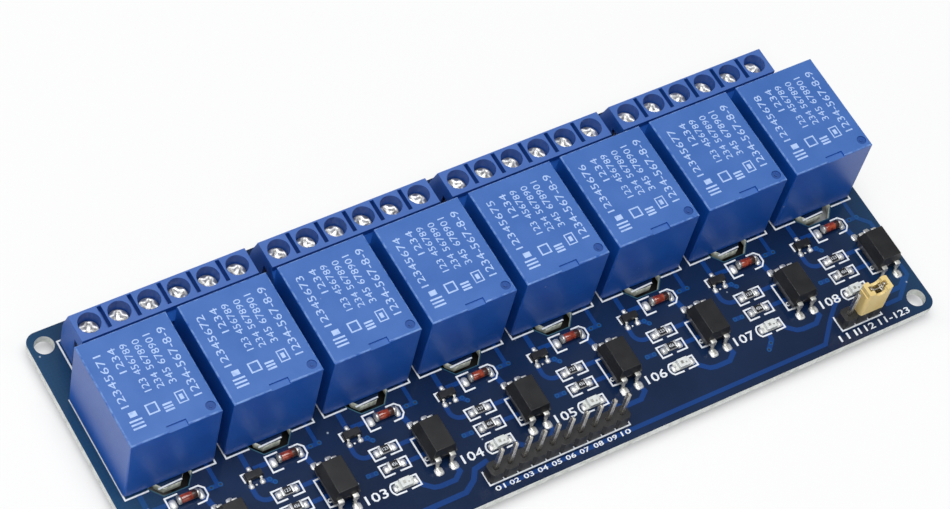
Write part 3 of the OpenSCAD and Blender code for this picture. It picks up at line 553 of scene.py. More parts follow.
header_rows = [(0.24, [(-15.45, -22.7), (-15.45, -25.3), (10.05, -25.3), (10.05, -24.6)])]
for k in range(1, INPUT_PINS):
    x = INPUT_EDGE + PIN_STEP * k
    header_rows.append((0.2, [(x, -25.3), (x, -24.85)]))
header_rows.append((LINE, [(51.05, -22.4), (51.05, -25.25), (58.85, -25.25), (58.85, -24.6)]))
for x in (53.67, 56.21):
    header_rows.append((0.22, [(x, -25.25), (x, -24.75)]))
for k in range(BLOCKS):
    left, right = block_middle(k) - BLOCK_HALF, block_middle(k) + BLOCK_HALF
    header_rows.append((LINE, [(left, 24.75), (right, 24.75), (right, 16.4), (left, 16.4), (left, 24.75)]))
keep_shape(strips(header_rows, LEGEND_LOW, LEGEND_HIGH), "header_legend", legend_white, "solder_mask")


def lettering(body, height, length, place, quarter_turns, z, rise, weight=0.0):
    """Plain characters as a mesh in mm, drawn to a height and length about a place, feet at z."""
    curve = bpy.data.curves.new("characters", "FONT")
    curve.body = body
    curve.size = height * 1.4 * MM
    curve.extrude = rise * MM / 2
    curve.offset = weight * MM
    curve.resolution_u = 2
    writing = new_object("characters", curve)
    graph = bpy.context.evaluated_depsgraph_get()
    mesh = bpy.data.meshes.new_from_object(writing.evaluated_get(graph), depsgraph=graph)
    bpy.data.objects.remove(writing)
    low = Vector([min(v.co[k] for v in mesh.vertices) for k in range(3)])
    high = Vector([max(v.co[k] for v in mesh.vertices) for k in range(3)])
    fit = Matrix.Diagonal((length * MM / (high.x - low.x), height * MM / (high.y - low.y), 1, 1))
    turn = Matrix.Rotation(quarter_turns * math.pi / 2, 4, "Z")
    lift = Matrix.Translation((place[0] * MM, place[1] * MM, z + rise * MM / 2))
    mesh.transform(lift @ turn @ fit @ Matrix.Translation(-(low + high) / 2))
    return mesh


def keep_lettering(meshes, name, finish, slot):
    """Joins rows of characters into one printed piece on the board."""
    shape = bmesh.new()
    for mesh in meshes:
        shape.from_mesh(mesh)
        bpy.data.meshes.remove(mesh)
    keep_mesh(mesh_of(shape, name, finish), name, "board", slot)


labels = [(f"10{k + 1}", 1.6, 3.75, channel_middle(k) - 6.85, -19.6, 0.02) for k in range(CHANNELS)]
for k in range(INPUT_PINS):
    labels.append((f"{k + 1:02d}", 0.82, 1.75, INPUT_FIRST_PIN + PIN_STEP * k, -26.2, 0.015))
for text, length, x in (("111", 3.3, 51.4), ("112", 3.1, 55.1), ("11-123", 6.0, 60.6)):
    labels.append((text, 1.15, length, x, -26.35, 0.015))
numbers = [lettering(text, height, length, (x, y), 0, BOARD_TOP, INK_RISE, weight)
           for text, height, length, x, y, weight in labels]
keep_lettering(numbers, "legend_numbers", legend_white, "solder_mask")

# Vias and lands: plated holes through the board, small rings that the mask covers, and in each
# bore a flat dark disc, painted shade in place of the open hole. The tinned copper lands are left open by the
# mask, and mounds of solder hold the parts.
painted_bore_shade, tree, shader = new_finish("via_bore", (0.004, 0.008, 0.02), 0.6)
skin = add_patina(tree, 900.0, 5000.0)
dress(tree, shader, blend_colours(tree, skin["Cloud"], (0.003, 0.006, 0.016), (0.008, 0.014, 0.03)))
via_teal = solder_mask("masked_via_teal", (0.007, 0.066, 0.22), (0.010, 0.085, 0.26), (0.016, 0.100, 0.26))


def drilled(places, ring_rise, bore_rise):
    """Bmeshes of the rings and of the bores of some vias, with their tops over the board in mm."""
    rings, bores = bmesh.new(), bmesh.new()
    for place in places:
        disc(rings, place, 0.4, TRACK_LOW, BOARD_TOP + ring_rise * MM, inner=0.2, sides=18)
        disc(bores, place, 0.21, TRACK_LOW, BOARD_TOP + bore_rise * MM, sides=14)
    return rings, bores


VIAS = ((-6.35, -16.0), (-5.05, -16.05), (-2.7, -10.8), (-3.25, -10.05), (5.0, -7.68), (6.5, -7.7))
rings, bores = drilled(VIAS, 0.07, 0.042)
keep_channels(rings, "via_rings", via_teal, "solder_mask")
keep_channels(bores, "via_bores", painted_bore_shade, "solder_mask")
LONE_VIAS = ((38.9, -22.15), (37.95, -23.1))  # one more pair, on the track below the seventh lamp
rings, bores = drilled(LONE_VIAS, 0.08, 0.07)
keep_shape(rings, "lone_via_rings", via_teal, "solder_mask")
keep_shape(bores, "lone_via_bores", painted_bore_shade, "solder_mask")


def bright_metal(name, colour, shade, roughness, cloud, bump, metallic=1.0):
    """Plated or soldered metal: bright, with duller clouds, fine pits and a soft dented surface."""
    material, tree, shader = new_finish(name, colour, roughness, metallic)
    skin = add_patina(tree, cloud, 5000.0)
    tone = clouded(tree, skin, 0.38, 0.68, colour, shade)
    rough = spread(tree, skin["Grain"], roughness * 0.7, roughness * 1.5)
    dress(tree, shader, tone, rough, (skin["Cloud"], bump, 0.12))
    return material


solder_bright = bright_metal("bright_solder", (0.88, 0.88, 0.86), (0.55, 0.56, 0.56), 0.42, 1100.0, 0.2, 0.72)


def close_rings(shape, rings):
    """Fills the walls between rings of points that follow each other."""
    for low, high in zip(rings, rings[1:]):
        for j in range(len(low)):
            k = (j + 1) % len(low)
            shape.faces.new((low[j], low[k], high[k], high[j]))


def pillow(shape, x, y, length, width, height, power=3.2, sides=20, layers=4):
    """Adds a low rounded mound of solder on a rectangular land, in mm, to a bmesh."""
    rings = []
    for k in range(layers):
        lean = math.pi / 2 * k / layers
        reach, rise = math.cos(lean), height * math.sin(lean)
        ring = []
        for j in range(sides):
            a = 2 * math.pi * j / sides
            c, s = math.cos(a), math.sin(a)
            across = x + reach * length / 2 * math.copysign(abs(c) ** (2 / power), c)
            along = y + reach * width / 2 * math.copysign(abs(s) ** (2 / power), s)
            ring.append(shape.verts.new((across * MM, along * MM, BOARD_TOP + rise * MM)))
        rings.append(ring)
    top = shape.verts.new((x * MM, y * MM, BOARD_TOP + height * MM))
    close_rings(shape, rings)
    for j in range(sides):
        shape.faces.new((rings[-1][j], rings[-1][(j + 1) % sides], top))
    shape.faces.new(rings[0][::-1])


LANDS = (
    (-1.45, -7.8, 1.2, 1.7, 0.36), (3.1, -7.9, 1.0, 1.9, 0.4),  # diode
    (-6.33, -10.05, 0.85, 0.95, 0.3), (-4.38, -9.95, 0.9, 0.85, 0.3),  # transistor
    (-5.35, -7.2, 0.75, 0.8, 0.22), (-5.46, -10.07, 0.36, 0.36, 0.12),
    (-3.25, -13.1, 1.15, 1.3, 0.42), (-0.4, -13.1, 1.1, 1.3, 0.4),  # resistors
    (-3.25, -16.14, 1.15, 1.3, 0.42), (-0.4, -16.14, 1.1, 1.3, 0.4),
    (-3.5, -19.62, 0.95, 1.3, 0.3), (-0.1, -19.62, 0.9, 1.3, 0.3),  # lamp
    (3.95, -19.85, 1.45, 1.5, 0.22), (6.6, -19.85, 1.45, 1.5, 0.22),  # optocoupler
    (3.93, -10.95, 1.2, 1.3, 0.16), (6.47, -10.95, 1.2, 1.3, 0.16),
)
shape = bmesh.new()
for land in LANDS:
    pillow(shape, *land)
keep_channels(shape, "surface_solder", solder_bright, "solder", smooth=60)

# Through-hole solder: a concave cone of solder on a tinned ring round every pin that stands
# out below the board: relay, terminal and header pins, 77 in all.
RELAY_PINS = ((0.0, -2.1), (-6.0, 12.1), (6.0, 12.1), (-6.0, -0.1), (6.0, -0.1))
POLES, POLE_STEP, POLE_ROW = 6, 5, 18.0
POWER_PINS, POWER_FIRST_PIN, HEADER_ROW = 3, 52.4, -23.9


def smooth_copy(node, name, finish, slot, edge=0.0, angle=35, segments=2, lower=None, cutters=()):
    """Dressed copy of a CAD node: merged, cut, edges eased by a small bevel, shaded and finished."""
    shape = solid_copy(node)
    bmesh.ops.dissolve_limit(shape, angle_limit=math.radians(0.6), verts=shape.verts, edges=shape.edges,
                             delimit={"NORMAL"})
    mesh = mesh_of(shape, name, finish)
    mesh.shade_smooth()
    if edge:
        source = new_object(name + "_source", mesh)
        for cutter in cutters:
            cut = source.modifiers.new("cut_away", "BOOLEAN")
            cut.operation = "DIFFERENCE"
            cut.solver = "MANIFOLD"
            cut.object = cutter
        bevel = source.modifiers.new("eased_edges", "BEVEL")
        bevel.width = edge * MM
        bevel.segments = segments
        bevel.limit_method = "ANGLE"
        bevel.angle_limit = math.radians(angle)
        bevel.use_clamp_overlap = True
        weights = source.modifiers.new("even_faces", "WEIGHTED_NORMAL")
        weights.keep_sharp = False
        mesh = plain_mesh(source, name)
    else:
        mesh.set_sharp_from_angle(angle=math.radians(angle))
    if lower:
        above, drop = lower
        for vertex in mesh.vertices:
            if vertex.co.z > above:
                vertex.co.z -= drop
    return keep_mesh(mesh, name, frame["nodes"][node]["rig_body"], slot, node)


smooth_copy("solder_joints", "pin_solder", solder_bright, "solder", angle=50)
lands = [(channel_middle(k) + x, y, 1.5, 0.75, 24) for k in range(CHANNELS) for x, y in RELAY_PINS]
for k in range(BLOCKS):
    for pole in range(POLES):
        x = block_middle(k) + (pole - (POLES - 1) / 2) * POLE_STEP
        lands.append((x, POLE_ROW, 1.4, 0.8, 24))
for first, count in ((INPUT_FIRST_PIN, INPUT_PINS), (POWER_FIRST_PIN, POWER_PINS)):
    for k in range(count):
        lands.append((first + PIN_STEP * k, HEADER_ROW, 1.15, 0.75, 20))
shape = bmesh.new()
for x, y, radius, bore, sides in lands:
    disc(shape, (x, y), radius, UNDER_LOW - 0.01 * MM, UNDER_HIGH, inner=bore, sides=sides)
keep_shape(shape, "pin_lands", solder_bright, "solder")

# Screw terminal blocks: four moulded blue housings of six poles, slid together by dovetails.
# Each pole has a bent contact soldered in the board, a rising cage and a clamp screw.


def moulded(name, colour, lighter, gloss, cloud=220.0, grain=4200.0, bump=0.12, share=0.004, paler_tone=None):
    """Moulded plastic: faint flow clouds, fine skin and a few specks of dust; upward faces take a painted
    sheen where a paler tone is given.
    """
    material, tree, shader = new_finish(name, colour, gloss)
    skin = add_patina(tree, cloud, grain, 850.0, share)
    tone = clouded(tree, skin, 0.3, 0.72, colour, lighter)
    if paler_tone:  # painted sheen: faces that point up take a paler tone, as light from above would give them
        painted_top_sheen = spread(tree, along_axes(tree, "Normal")["Z"], 0, 1, 0.7, 0.98)
        tone = blend_colours(tree, painted_top_sheen, tone, clouded(tree, skin, 0.3, 0.72, *paler_tone))
    dust = tuple(min(0.8, c * 0.5 + 0.28) for c in lighter)
    tone = blend_colours(tree, skin["Specks"], tone, dust)
    rough = spread(tree, skin["Grain"], gloss * 0.8, gloss * 1.25)
    dress(tree, shader, tone, rough, (skin["Grain"], bump, 0.02))
    return material


# the second pair of colours is the painted sheen on the housings' upward faces
terminal_blue = moulded("terminal_blue", (0.010, 0.090, 0.400), (0.016, 0.105, 0.440), 0.44,
                        paler_tone=((0.050, 0.130, 0.410), (0.064, 0.150, 0.450)))
nickel = bright_metal("nickel_plate", (0.84, 0.84, 0.82), (0.5, 0.49, 0.47), 0.44, 1300.0, 0.2, 0.85)
brass_tin = bright_metal("tinned_brass", (0.83, 0.78, 0.62), (0.62, 0.56, 0.4), 0.3, 700.0, 0.2)
for k in range(1, BLOCKS + 1):
    smooth_copy(f"terminal_housing_{k}", f"terminal_block_{k}", terminal_blue, "terminal_plastic", 0.12)
smooth_copy("terminal_contacts", "terminal_tongues", brass_tin, "tinned_brass", 0.06)
smooth_copy("terminal_cages", "rising_cages", nickel, "plated_steel", 0.06)

FULL_TURN = 6.283
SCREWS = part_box("terminal_screws")
shape = solid_copy("terminal_screws")
screw_x = (block_middle(0) - (POLES - 1) / 2 * POLE_STEP) * MM
screw_y = (SCREWS[0].y + SCREWS[1].y) / 2
others = [v for v in shape.verts if abs(v.co.x - screw_x) > 2.4 * MM]
bmesh.ops.delete(shape, geom=others, context="VERTS")
bmesh.ops.translate(shape, verts=shape.verts, vec=(-screw_x, -screw_y, 0))
rim = [e for e in shape.edges if len(e.link_faces) == 2 and e.calc_face_angle(0) > math.radians(50)]
bmesh.ops.bevel(shape, geom=rim, offset=0.07 * MM, segments=2, affect="EDGES", clamp_overlap=True)
screw_mesh = finish_mesh(shape, "clamp_screw", smooth=38)
clamp_screws = set_out(screw_mesh, "clamp_screws", nickel, POLES, POLE_STEP * MM, BLOCKS, BLOCK_STEP * MM,
                       (BLOCK_SHIFT * MM, screw_y, 0), turn=FULL_TURN, seed=11)
keep_mesh(clamp_screws, "clamp_screws", "board", "plated_steel", "terminal_screws")

# Relays: eight sugar-cube relays. A coil on an iron core pulls a hinged armature, whose spring
# carries the moving contact between two fixed ones. All sits on a base under a blue cover.
# the second pair of colours is the painted sheen on the caps' upward faces
relay_blue = moulded("relay_blue", (0.004, 0.072, 0.370), (0.008, 0.092, 0.430), 0.33, 150.0, 3200.0,
                     share=0.006, paler_tone=((0.044, 0.132, 0.415), (0.062, 0.160, 0.465)))
base_blue = moulded("relay_base_blue", (0.02, 0.09, 0.36), (0.026, 0.11, 0.42), 0.45)
ivory = moulded("bobbin_ivory", (0.74, 0.70, 0.58), (0.80, 0.77, 0.66), 0.45)
smooth_copy("relay_bases", "relay_bases_dressed", base_blue, "relay_plastic", 0.08)
smooth_copy("relay_bobbins", "coil_bobbins", ivory, "bobbin_plastic", 0.07)

winding, tree, shader = new_finish("enamelled_wire", (0.52, 0.2, 0.07), 0.3, 0.75)
turns = bands(tree, "Z", 3900.0, 0.6)
# painted shade and highlight: the colour runs dark in the grooves between turns and light on each turn
tone = blend_colours(tree, turns, (0.3, 0.09, 0.03), (0.68, 0.29, 0.11))
tone = clouded(tree, add_patina(tree, 400.0, 3000.0), 0.4, 0.7, tone, (0.42, 0.13, 0.05), most=0.5)
dress(tree, shader, tone, bumps=(turns, 0.7, 0.04))
smooth_copy("relay_windings", "coil_windings", winding, "winding_wire", 0.1)

soft_iron = bright_metal("plated_iron", (0.58, 0.58, 0.59), (0.4, 0.4, 0.42), 0.34, 500.0, 0.15)
smooth_copy("relay_cores", "coil_cores", soft_iron, "relay_steel", 0.06)
smooth_copy("relay_yokes", "coil_yokes", soft_iron, "relay_steel", 0.08)
contact_copper = bright_metal("contact_copper", (0.78, 0.43, 0.27), (0.6, 0.3, 0.18), 0.3, 600.0, 0.15)
for strip in ("common_strips", "open_contacts", "closed_contacts"):
    smooth_copy("relay_" + strip, strip, contact_copper, "contact_copper", 0.04)
smooth_copy("relay_coil_pins", "coil_pins", brass_tin, "solder", angle=40)
for k in range(1, CHANNELS + 1):
    smooth_copy(f"relay_armature_{k}", f"armature_plate_{k}", soft_iron, "relay_steel", 0.08)
    smooth_copy(f"relay_spring_{k}", f"contact_spring_{k}", contact_copper, "contact_copper", 0.03)

# Relay covers: glossy blue moulded caps with a moulded-in round mark and a step at the front.
# Their pad-printed ratings are replaced by rows of plain numbers in the same pale ink.
PRINT_RISE = 0.015
COVER_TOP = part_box("relay_cover_1")[1].z
PRINT_FOOT = COVER_TOP - (PRINT_RISE + 0.001) * MM
RIM_DEPTH = 0.2
MARK_PLACE, MARK_RADIUS = (6.2, -2.2), 0.85
# painted shade: a darker blue for the walls and floor of each cap's round recess
mark_shade_blue = moulded("relay_mark_blue", (0.010, 0.060, 0.27), (0.014, 0.075, 0.31), 0.5, share=0.0)
# painted highlight: a lighter blue for the eased top edges of the caps
painted_edge_highlight = moulded("relay_edge_blue", (0.020, 0.100, 0.40), (0.17, 0.31, 0.64), 0.4, cloud=1000.0, share=0.0)
mark_floor = COVER_TOP
for k in range(CHANNELS):
    cap = smooth_copy(f"relay_cover_{k + 1}", f"relay_cap_{k + 1}", relay_blue, "relay_plastic", 0.1,
                      segments=3, lower=(COVER_TOP - RIM_DEPTH * MM, PRINT_RISE * MM))
    cap.data.materials.append(mark_shade_blue)
    cap.data.materials.append(painted_edge_highlight)
    mark = Vector(((channel_middle(k) + MARK_PLACE[0]) * MM, MARK_PLACE[1] * MM, COVER_TOP - PRINT_RISE * MM))
    for polygon in cap.data.polygons:
        away = (polygon.center - mark).to_2d().length
        # faces of the round recess take the darker blue, painted shade
        if away < MARK_RADIUS * MM and 0.02 * MM < mark.z - polygon.center.z < 2 * MM:
            polygon.material_index = 1
            mark_floor = min(mark_floor, polygon.center.z)
        # eased faces along the top edges take the lighter blue, a painted highlight
        elif 0.25 < polygon.normal.z < 0.97 and polygon.center.z > COVER_TOP - RIM_DEPTH * MM:
            polygon.material_index = 2
# the pit in each recess is a flat dark disc, painted shade
shape = bmesh.new()
disc(shape, MARK_PLACE, 0.25, mark_floor - 0.01 * MM, mark_floor + 0.02 * MM, sides=14)
keep_channels(shape, "relay_mark_pits", painted_bore_shade, "relay_plastic")

pad_ink = ink("pad_print_ink", (0.42, 0.56, 0.85), (0.22, 0.35, 0.68), 1300.0)
PRINT_ROWS = (  # across, height of the digits, start, end, digits
    (-5.3, 1.25, 2.6, 12.2, "1234567{}"), (-2.9, 1.2, 8.0, 12.5, "1234"),
    (-0.98, 1.15, 3.75, 12.5, "123 456789"), (1.02, 1.15, 3.5, 12.5, "234 567890"),
    (3.0, 1.2, 3.5, 12.6, "345 678901"), (5.38, 1.35, 0.15, 12.9, "1234-567-8-9"),
)
prints = []
for k in range(CHANNELS):
    for x, height, low, high, text in PRINT_ROWS:
        place = (channel_middle(k) + x, (low + high) / 2)
        prints.append(lettering(text.format(k + 1), height, high - low, place, 1, PRINT_FOOT, PRINT_RISE))
keep_lettering(prints, "relay_print", pad_ink, "relay_plastic")

mark_rows = [(0.3, [(-5.85, y), (-3.8, y)]) for y in (-1.2, -0.55, 0.1)]
mark_rows.append((0.9, [(-5.4, 1.2), (-4.2, 1.2)]))
mark_rows.append((0.24, [(-2.55, 0.15), (-0.95, 0.15), (-0.95, 1.75), (-2.55, 1.75), (-2.55, 0.15)]))
mark_rows += [(0.32, [(-0.2, y), (1.3, y)]) for y in (-0.35, 0.2, 0.75)]
mark_rows.append((0.18, [(2.3, 0.0), (3.7, 0.0), (3.7, 1.9), (2.3, 1.9), (2.3, 0.0)]))
mark_rows.append((0.6, [(3.0, 0.5), (3.0, 1.4)]))
keep_channels(strips(mark_rows, PRINT_FOOT, COVER_TOP), "relay_marks", pad_ink, "relay_plastic")

# Pin headers: strips of black plastic cells with square pins pressed through, soldered below.
# The three-pin one carries a tan jumper cap with a spring clip inside.
header_black = moulded("header_black", (0.012, 0.012, 0.013), (0.020, 0.020, 0.021), 0.42)
pin_metal = bright_metal("header_pin_plate", (0.78, 0.75, 0.68), (0.5, 0.46, 0.4), 0.26, 900.0, 0.12)
jumper_tan = moulded("jumper_tan", (0.72, 0.53, 0.20), (0.80, 0.62, 0.27), 0.4, cloud=300.0)
for header in ("input", "power"):
    smooth_copy(header + "_header_strip", header + "_strip", header_black, "black_plastic", 0.06)
for header in ("input", "power"):
    smooth_copy(header + "_header_pins", header + "_pins", pin_metal, "header_pin_metal", 0.03)

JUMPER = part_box("jumper_cap")
jumper_x, jumper_y = (JUMPER[0].x + JUMPER[1].x) / 2, (JUMPER[0].y + JUMPER[1].y) / 2
SCOOP_RADIUS = 1.15
scoop = bmesh.new()  # a round scoop runs through both walls
place = Matrix.Translation((jumper_x, jumper_y, JUMPER[1].z + 0.02 * MM))
bmesh.ops.create_cone(scoop, cap_ends=True, segments=40, radius1=SCOOP_RADIUS * MM, radius2=SCOOP_RADIUS * MM,
                      depth=4 * MM, matrix=place @ Matrix.Rotation(math.pi / 2, 4, "X"))
cutter_shapes = [scoop]
for x, length, width, depth in ((0, 2.1, 1.48, 2.6), (2.49, 0.36, 4.0, 1.0), (-2.49, 0.36, 4.0, 1.0)):
    block = bmesh.new()  # the wider opening between the lobes, and a step outside each lobe
    place = Matrix.Translation((jumper_x + x * MM, jumper_y, JUMPER[1].z))
    sizes = Matrix.Diagonal((length * MM, width * MM, 2 * depth * MM, 1))
    bmesh.ops.create_cube(block, size=1, matrix=place @ sizes)
    cutter_shapes.append(block)
cutters = [new_object("jumper_cutter", finish_mesh(cut, "jumper_cutter")) for cut in cutter_shapes]
smooth_copy("jumper_cap", "jumper_shell", jumper_tan, "jumper_plastic", 0.07, cutters=cutters)
for cutter in cutters:
    bpy.data.objects.remove(cutter)
smooth_copy("jumper_clip", "jumper_spring", pin_metal, "header_pin_metal", 0.03)

# Optocouplers: black epoxy bodies with drafted sides on four bent, tinned leads each. They are
# soldered to lands in front of the relays, and a moulded ring marks the corner of the first lead.
OPTO_HEIGHT = 3.9
opto_black = moulded("epoxy_black", (0.010, 0.010, 0.011), (0.020, 0.020, 0.020), 0.3, 400.0, 5200.0,
                     bump=0.3, share=0.012)
lead_tin = bright_metal("tinned_lead", (0.80, 0.79, 0.74), (0.48, 0.47, 0.44), 0.4, 1400.0, 0.12, 0.8)
smooth_copy("optocoupler_bodies", "opto_bodies", opto_black, "black_plastic", 0.07)
smooth_copy("optocoupler_leads", "opto_leads", lead_tin, "solder", 0.04)
opto_top = BOARD_TOP + OPTO_HEIGHT * MM
shape = bmesh.new()
disc(shape, (4.0, -17.3), 0.3, opto_top - 0.01 * MM, opto_top + 0.012 * MM, inner=0.22, sides=18)
keep_channels(shape, "opto_dots", header_black, "black_plastic")

# Transistors: small three-lead parts moulded in black epoxy that switch the coils. Each is
# soldered beside its channel's diode.
smooth_copy("transistor_bodies", "transistor_cases", opto_black, "black_plastic", 0.04)
smooth_copy("transistor_leads", "transistor_legs", lead_tin, "solder", 0.02)

# Diodes: small glass cylinders, orange-red from the chip and slugs inside, with a dark cathode
# band and a tinned cap at each end.
glass_red, tree, shader = new_finish("diode_glass_red", (0.27, 0.034, 0.012), 0.12)
skin = add_patina(tree, 1400.0, 6000.0)
dress(tree, shader, clouded(tree, skin, 0.35, 0.65, (0.16, 0.016, 0.007), (0.38, 0.060, 0.022)))
shader.inputs["Coat Weight"].default_value = 0.8
shader.inputs["Coat Roughness"].default_value = 0.05
smooth_copy("diode_glass", "diode_tubes", glass_red, "diode_glass_body", 0.12)
# the caps' tin is darker than the other leads: partly a duller finish, partly painted shade
cap_dull_and_shaded = bright_metal("diode_cap_metal", (0.62, 0.61, 0.58), (0.30, 0.30, 0.29), 0.36, 1200.0, 0.15, 0.85)
smooth_copy("diode_caps", "diode_ends", cap_dull_and_shaded, "solder", 0.1)

band_dark = moulded("cathode_band", (0.03, 0.012, 0.01), (0.05, 0.02, 0.015), 0.3)
BAND_SIDES = 28
BAND_RINGS = ((-0.78, 1.0), (-0.75, 1.018), (-0.06, 1.018), (-0.03, 1.0))  # from the end, by the radius
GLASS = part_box("diode_glass")
glass_y, glass_z = (GLASS[0].y + GLASS[1].y) / 2, (GLASS[0].z + GLASS[1].z) / 2
glass_r = (GLASS[1].z - GLASS[0].z) / 2
glass_end = GLASS[1].x - (CHANNELS - 1) / 2 * CHANNEL_PITCH
shape = bmesh.new()
rings = []
for x, r in BAND_RINGS:
    ring = []
    for j in range(BAND_SIDES):
        a = 2 * math.pi * j / BAND_SIDES
        across, up = glass_r * r * math.cos(a), glass_r * r * math.sin(a)
        ring.append(shape.verts.new((glass_end + x * MM, glass_y + across, glass_z + up)))
    rings.append(ring)
close_rings(shape, rings)
shape.faces.new(rings[0])
shape.faces.new(rings[-1][::-1])
keep_channels(shape, "diode_bands", band_dark, "diode_glass_body", smooth=40)

# Resistors: ceramic chips with a black glaze on top, printed with tiny plain numbers, and
# plated ends that the solder wets.
ceramic = moulded("chip_ceramic", (0.62, 0.62, 0.6), (0.72, 0.72, 0.7), 0.5, share=0.0)
glaze = moulded("chip_glaze", (0.012, 0.012, 0.014), (0.02, 0.02, 0.024), 0.28, share=0.0)
smooth_copy("resistor_bodies", "resistor_chips", ceramic, "black_plastic", 0.03)
smooth_copy("resistor_caps", "resistor_ends", solder_bright, "solder", 0.03)
RESISTOR_X, RESISTOR_ROWS = -1.87, ((-13.06, "123"), (-16.0, "456"))
GLAZE_WIDTH, GLAZE_ENDS = 1.22, (RESISTOR_X - 0.64, RESISTOR_X + 0.64)
chip_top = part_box("resistor_bodies")[1].z
glaze_rows = [(GLAZE_WIDTH, [(x, y) for x in GLAZE_ENDS]) for y, text in RESISTOR_ROWS]
keep_channels(strips(glaze_rows, chip_top - 0.01 * MM, chip_top + 0.02 * MM), "resistor_glaze", glaze,
              "black_plastic")
chip_numbers = []
for k in range(CHANNELS):
    for y, text in RESISTOR_ROWS:
        place = (channel_middle(k) + RESISTOR_X, y)
        chip_numbers.append(lettering(text, 0.55, 0.95, place, 0, chip_top + 0.018 * MM, 0.012))
keep_lettering(chip_numbers, "resistor_numbers", legend_white, "black_plastic")

# Indicator lamps: white laminate bases with plated end notches and a milky clear resin lens,
# through which the chip's small plate shows.
lamp_white = moulded("lamp_base_white", (0.60, 0.62, 0.58), (0.74, 0.75, 0.71), 0.5, share=0.0)
lens, tree, shader = new_finish("lamp_lens", (0.74, 0.76, 0.70), 0.2)
skin = add_patina(tree, 1100.0, 5000.0)
milk = blend_colours(tree, skin["Cloud"], (0.60, 0.63, 0.60), (0.84, 0.86, 0.84))
dress(tree, shader, milk, spread(tree, skin["Grain"], 0.12, 0.3))
shader.inputs["Coat Weight"].default_value = 0.5
smooth_copy("lamp_bases", "lamp_plates", lamp_white, "lamp_board", 0.03)
smooth_copy("lamp_lenses", "lamp_windows", lens, "lamp_lens_resin", 0.06)
chip_gold = bright_metal("lamp_chip_plate", (0.55, 0.55, 0.50), (0.38, 0.38, 0.34), 0.4, 1500.0, 0.1)
plates = ((0.55, [(-2.35, -19.5), (-1.9, -19.5)]), (0.3, [(-1.6, -19.75), (-1.3, -19.75)]))
lens_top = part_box("lamp_lenses")[1].z
shape = strips(plates, lens_top - 0.02 * MM, lens_top + 0.008 * MM)
keep_channels(shape, "lamp_marks", chip_gold, "lamp_lens_resin")

# Studio floor: a plain pale sheet under the board. It glows white to the eye and in the gloss
# at some way from the board; nearer, the glow fades and under the board its colour turns dark, a painted
# shadow.
FLOOR_HALF = 1.5
FLOOR_WHITE = 0.82
shape = bmesh.new()
bmesh.ops.create_grid(shape, x_segments=1, y_segments=1, size=FLOOR_HALF)
bmesh.ops.translate(shape, verts=shape.verts, vec=(0, 0, -0.05 * MM))
floor_pale = bpy.data.materials.new("floor_pale")
floor_pale.use_nodes = True
tree = floor_pale.node_tree
tree.nodes.clear()
axes = along_axes(tree)
beyond = [reckon(tree, "SUBTRACT", reckon(tree, "ABSOLUTE", axes[axis]), half)
          for axis, half in (("X", BOARD[1].x), ("Y", BOARD[1].y))]
outer = reckon(tree, "MAXIMUM", *beyond)
seen = tree.nodes.new("ShaderNodeLightPath")
parts = []
# painted shadow: near the board the glow fades, to the eye and in the gloss
for ray, start, end in (("Is Camera Ray", -6 * MM, 6 * MM), ("Is Glossy Ray", 3 * MM, 6.5 * MM)):
    clear = spread(tree, outer, 0.0, FLOOR_WHITE, start, end, "SMOOTHSTEP")
    parts.append(reckon(tree, "MULTIPLY", seen.outputs[ray], clear))
matt = tree.nodes.new("ShaderNodeBsdfDiffuse")
# painted shadow: under the board the floor's own colour turns almost black
feed(tree, matt.inputs["Color"], spread(tree, outer, 0.03, FLOOR_WHITE, -10 * MM, -5 * MM))
mix = tree.nodes.new("ShaderNodeMixShader")
feed(tree, mix.inputs["Fac"], reckon(tree, "MAXIMUM", *parts))
feed(tree, mix.inputs[1], matt.outputs[0])
feed(tree, mix.inputs[2], tree.nodes.new("ShaderNodeEmission").outputs[0])
feed(tree, tree.nodes.new("ShaderNodeOutputMaterial").inputs["Surface"], mix.outputs[0])
floor = new_object("studio_floor", mesh_of(shape, "studio_floor", floor_pale))

# Lamps and air: a large soft light overhead, weaker ones from the left and the front, and pale
# air all round that the eye sees as white.


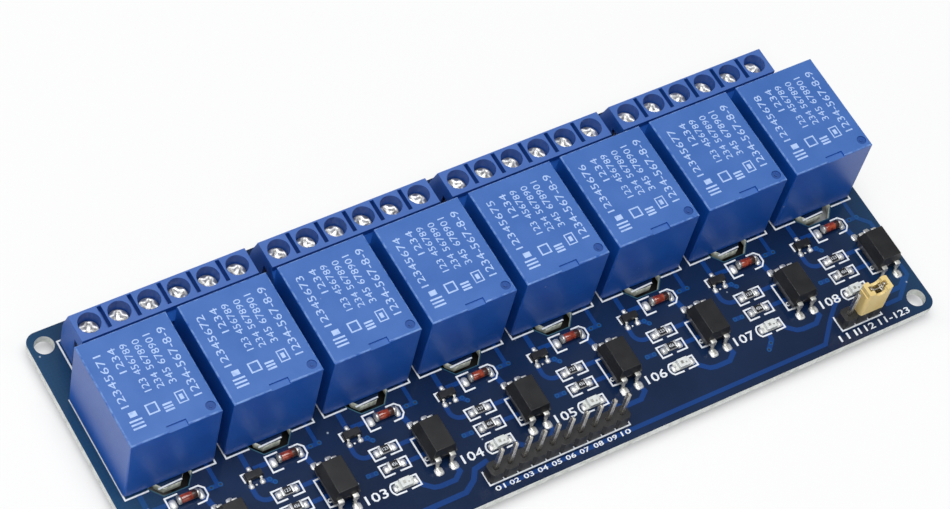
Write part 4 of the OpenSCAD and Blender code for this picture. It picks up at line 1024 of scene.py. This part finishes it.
def soft_box(name, place, size, power):
    """An oblong area lamp at a place in metres, aimed at the middle of the board."""
    lamp = bpy.data.lights.new(name, "AREA")
    lamp.shape = "RECTANGLE"
    lamp.size, lamp.size_y = size
    lamp.energy = power
    holder = new_object(name, lamp)
    holder.location = place
    holder.rotation_euler = (-Vector(place)).to_track_quat("-Z", "Y").to_euler()


soft_box("overhead_soft_box", (-0.11, -0.05, 0.80), (0.62, 0.62), 6.2)
soft_box("left_soft_box", (-0.7, 0.05, 0.3), (0.5, 0.4), 0.8)
soft_box("front_soft_box", (-0.1, -0.75, 0.35), (0.5, 0.4), 0.9)
world = bpy.data.worlds.new("studio_air")
bpy.context.scene.world = world
world.use_nodes = True
tree = world.node_tree
air, white = tree.nodes["Background"], tree.nodes.new("ShaderNodeBackground")
for backdrop, colour, strength in ((air, (0.9, 0.94, 1.0), 0.25), (white, (1, 1, 1), 1.0)):
    feed(tree, backdrop.inputs["Color"], colour)
    feed(tree, backdrop.inputs["Strength"], strength)
seen = tree.nodes.new("ShaderNodeLightPath")
mix = tree.nodes.new("ShaderNodeMixShader")
feed(tree, mix.inputs["Fac"], seen.outputs["Is Camera Ray"])
feed(tree, mix.inputs[1], air.outputs[0])
feed(tree, mix.inputs[2], white.outputs[0])
feed(tree, tree.nodes["World Output"].inputs["Surface"], mix.outputs[0])
bpy.context.scene.view_settings.view_transform = "Standard"

# Camera: a long lens on a small frame, held in front of the board, to the left and well above
# it. Its length and place are in millimetres, and its three directions are unit vectors.
FRAME_WIDTH, LENS_LENGTH = 36.0, 113.92295
CAMERA_PLACE = (-183.34, -182.39, 401.08)
RIGHT, UP, AHEAD = (0.85499, -0.49322, 0.16035), (0.34327, 0.76994, 0.53792), (0.38878, 0.40487, -0.82761)
lens_data = bpy.data.cameras.new("studio_camera")
lens_data.sensor_fit = "HORIZONTAL"
lens_data.sensor_width = FRAME_WIDTH
lens_data.lens = LENS_LENGTH
lens_data.clip_start = 0.01
lens_data.clip_end = 10.0
camera = new_object("studio_camera", lens_data)
pose = Matrix((Vector(RIGHT), Vector(UP), -Vector(AHEAD))).transposed().to_4x4()
pose.translation = Vector(CAMERA_PLACE) * MM
camera.matrix_world = pose
bpy.context.scene.camera = camera
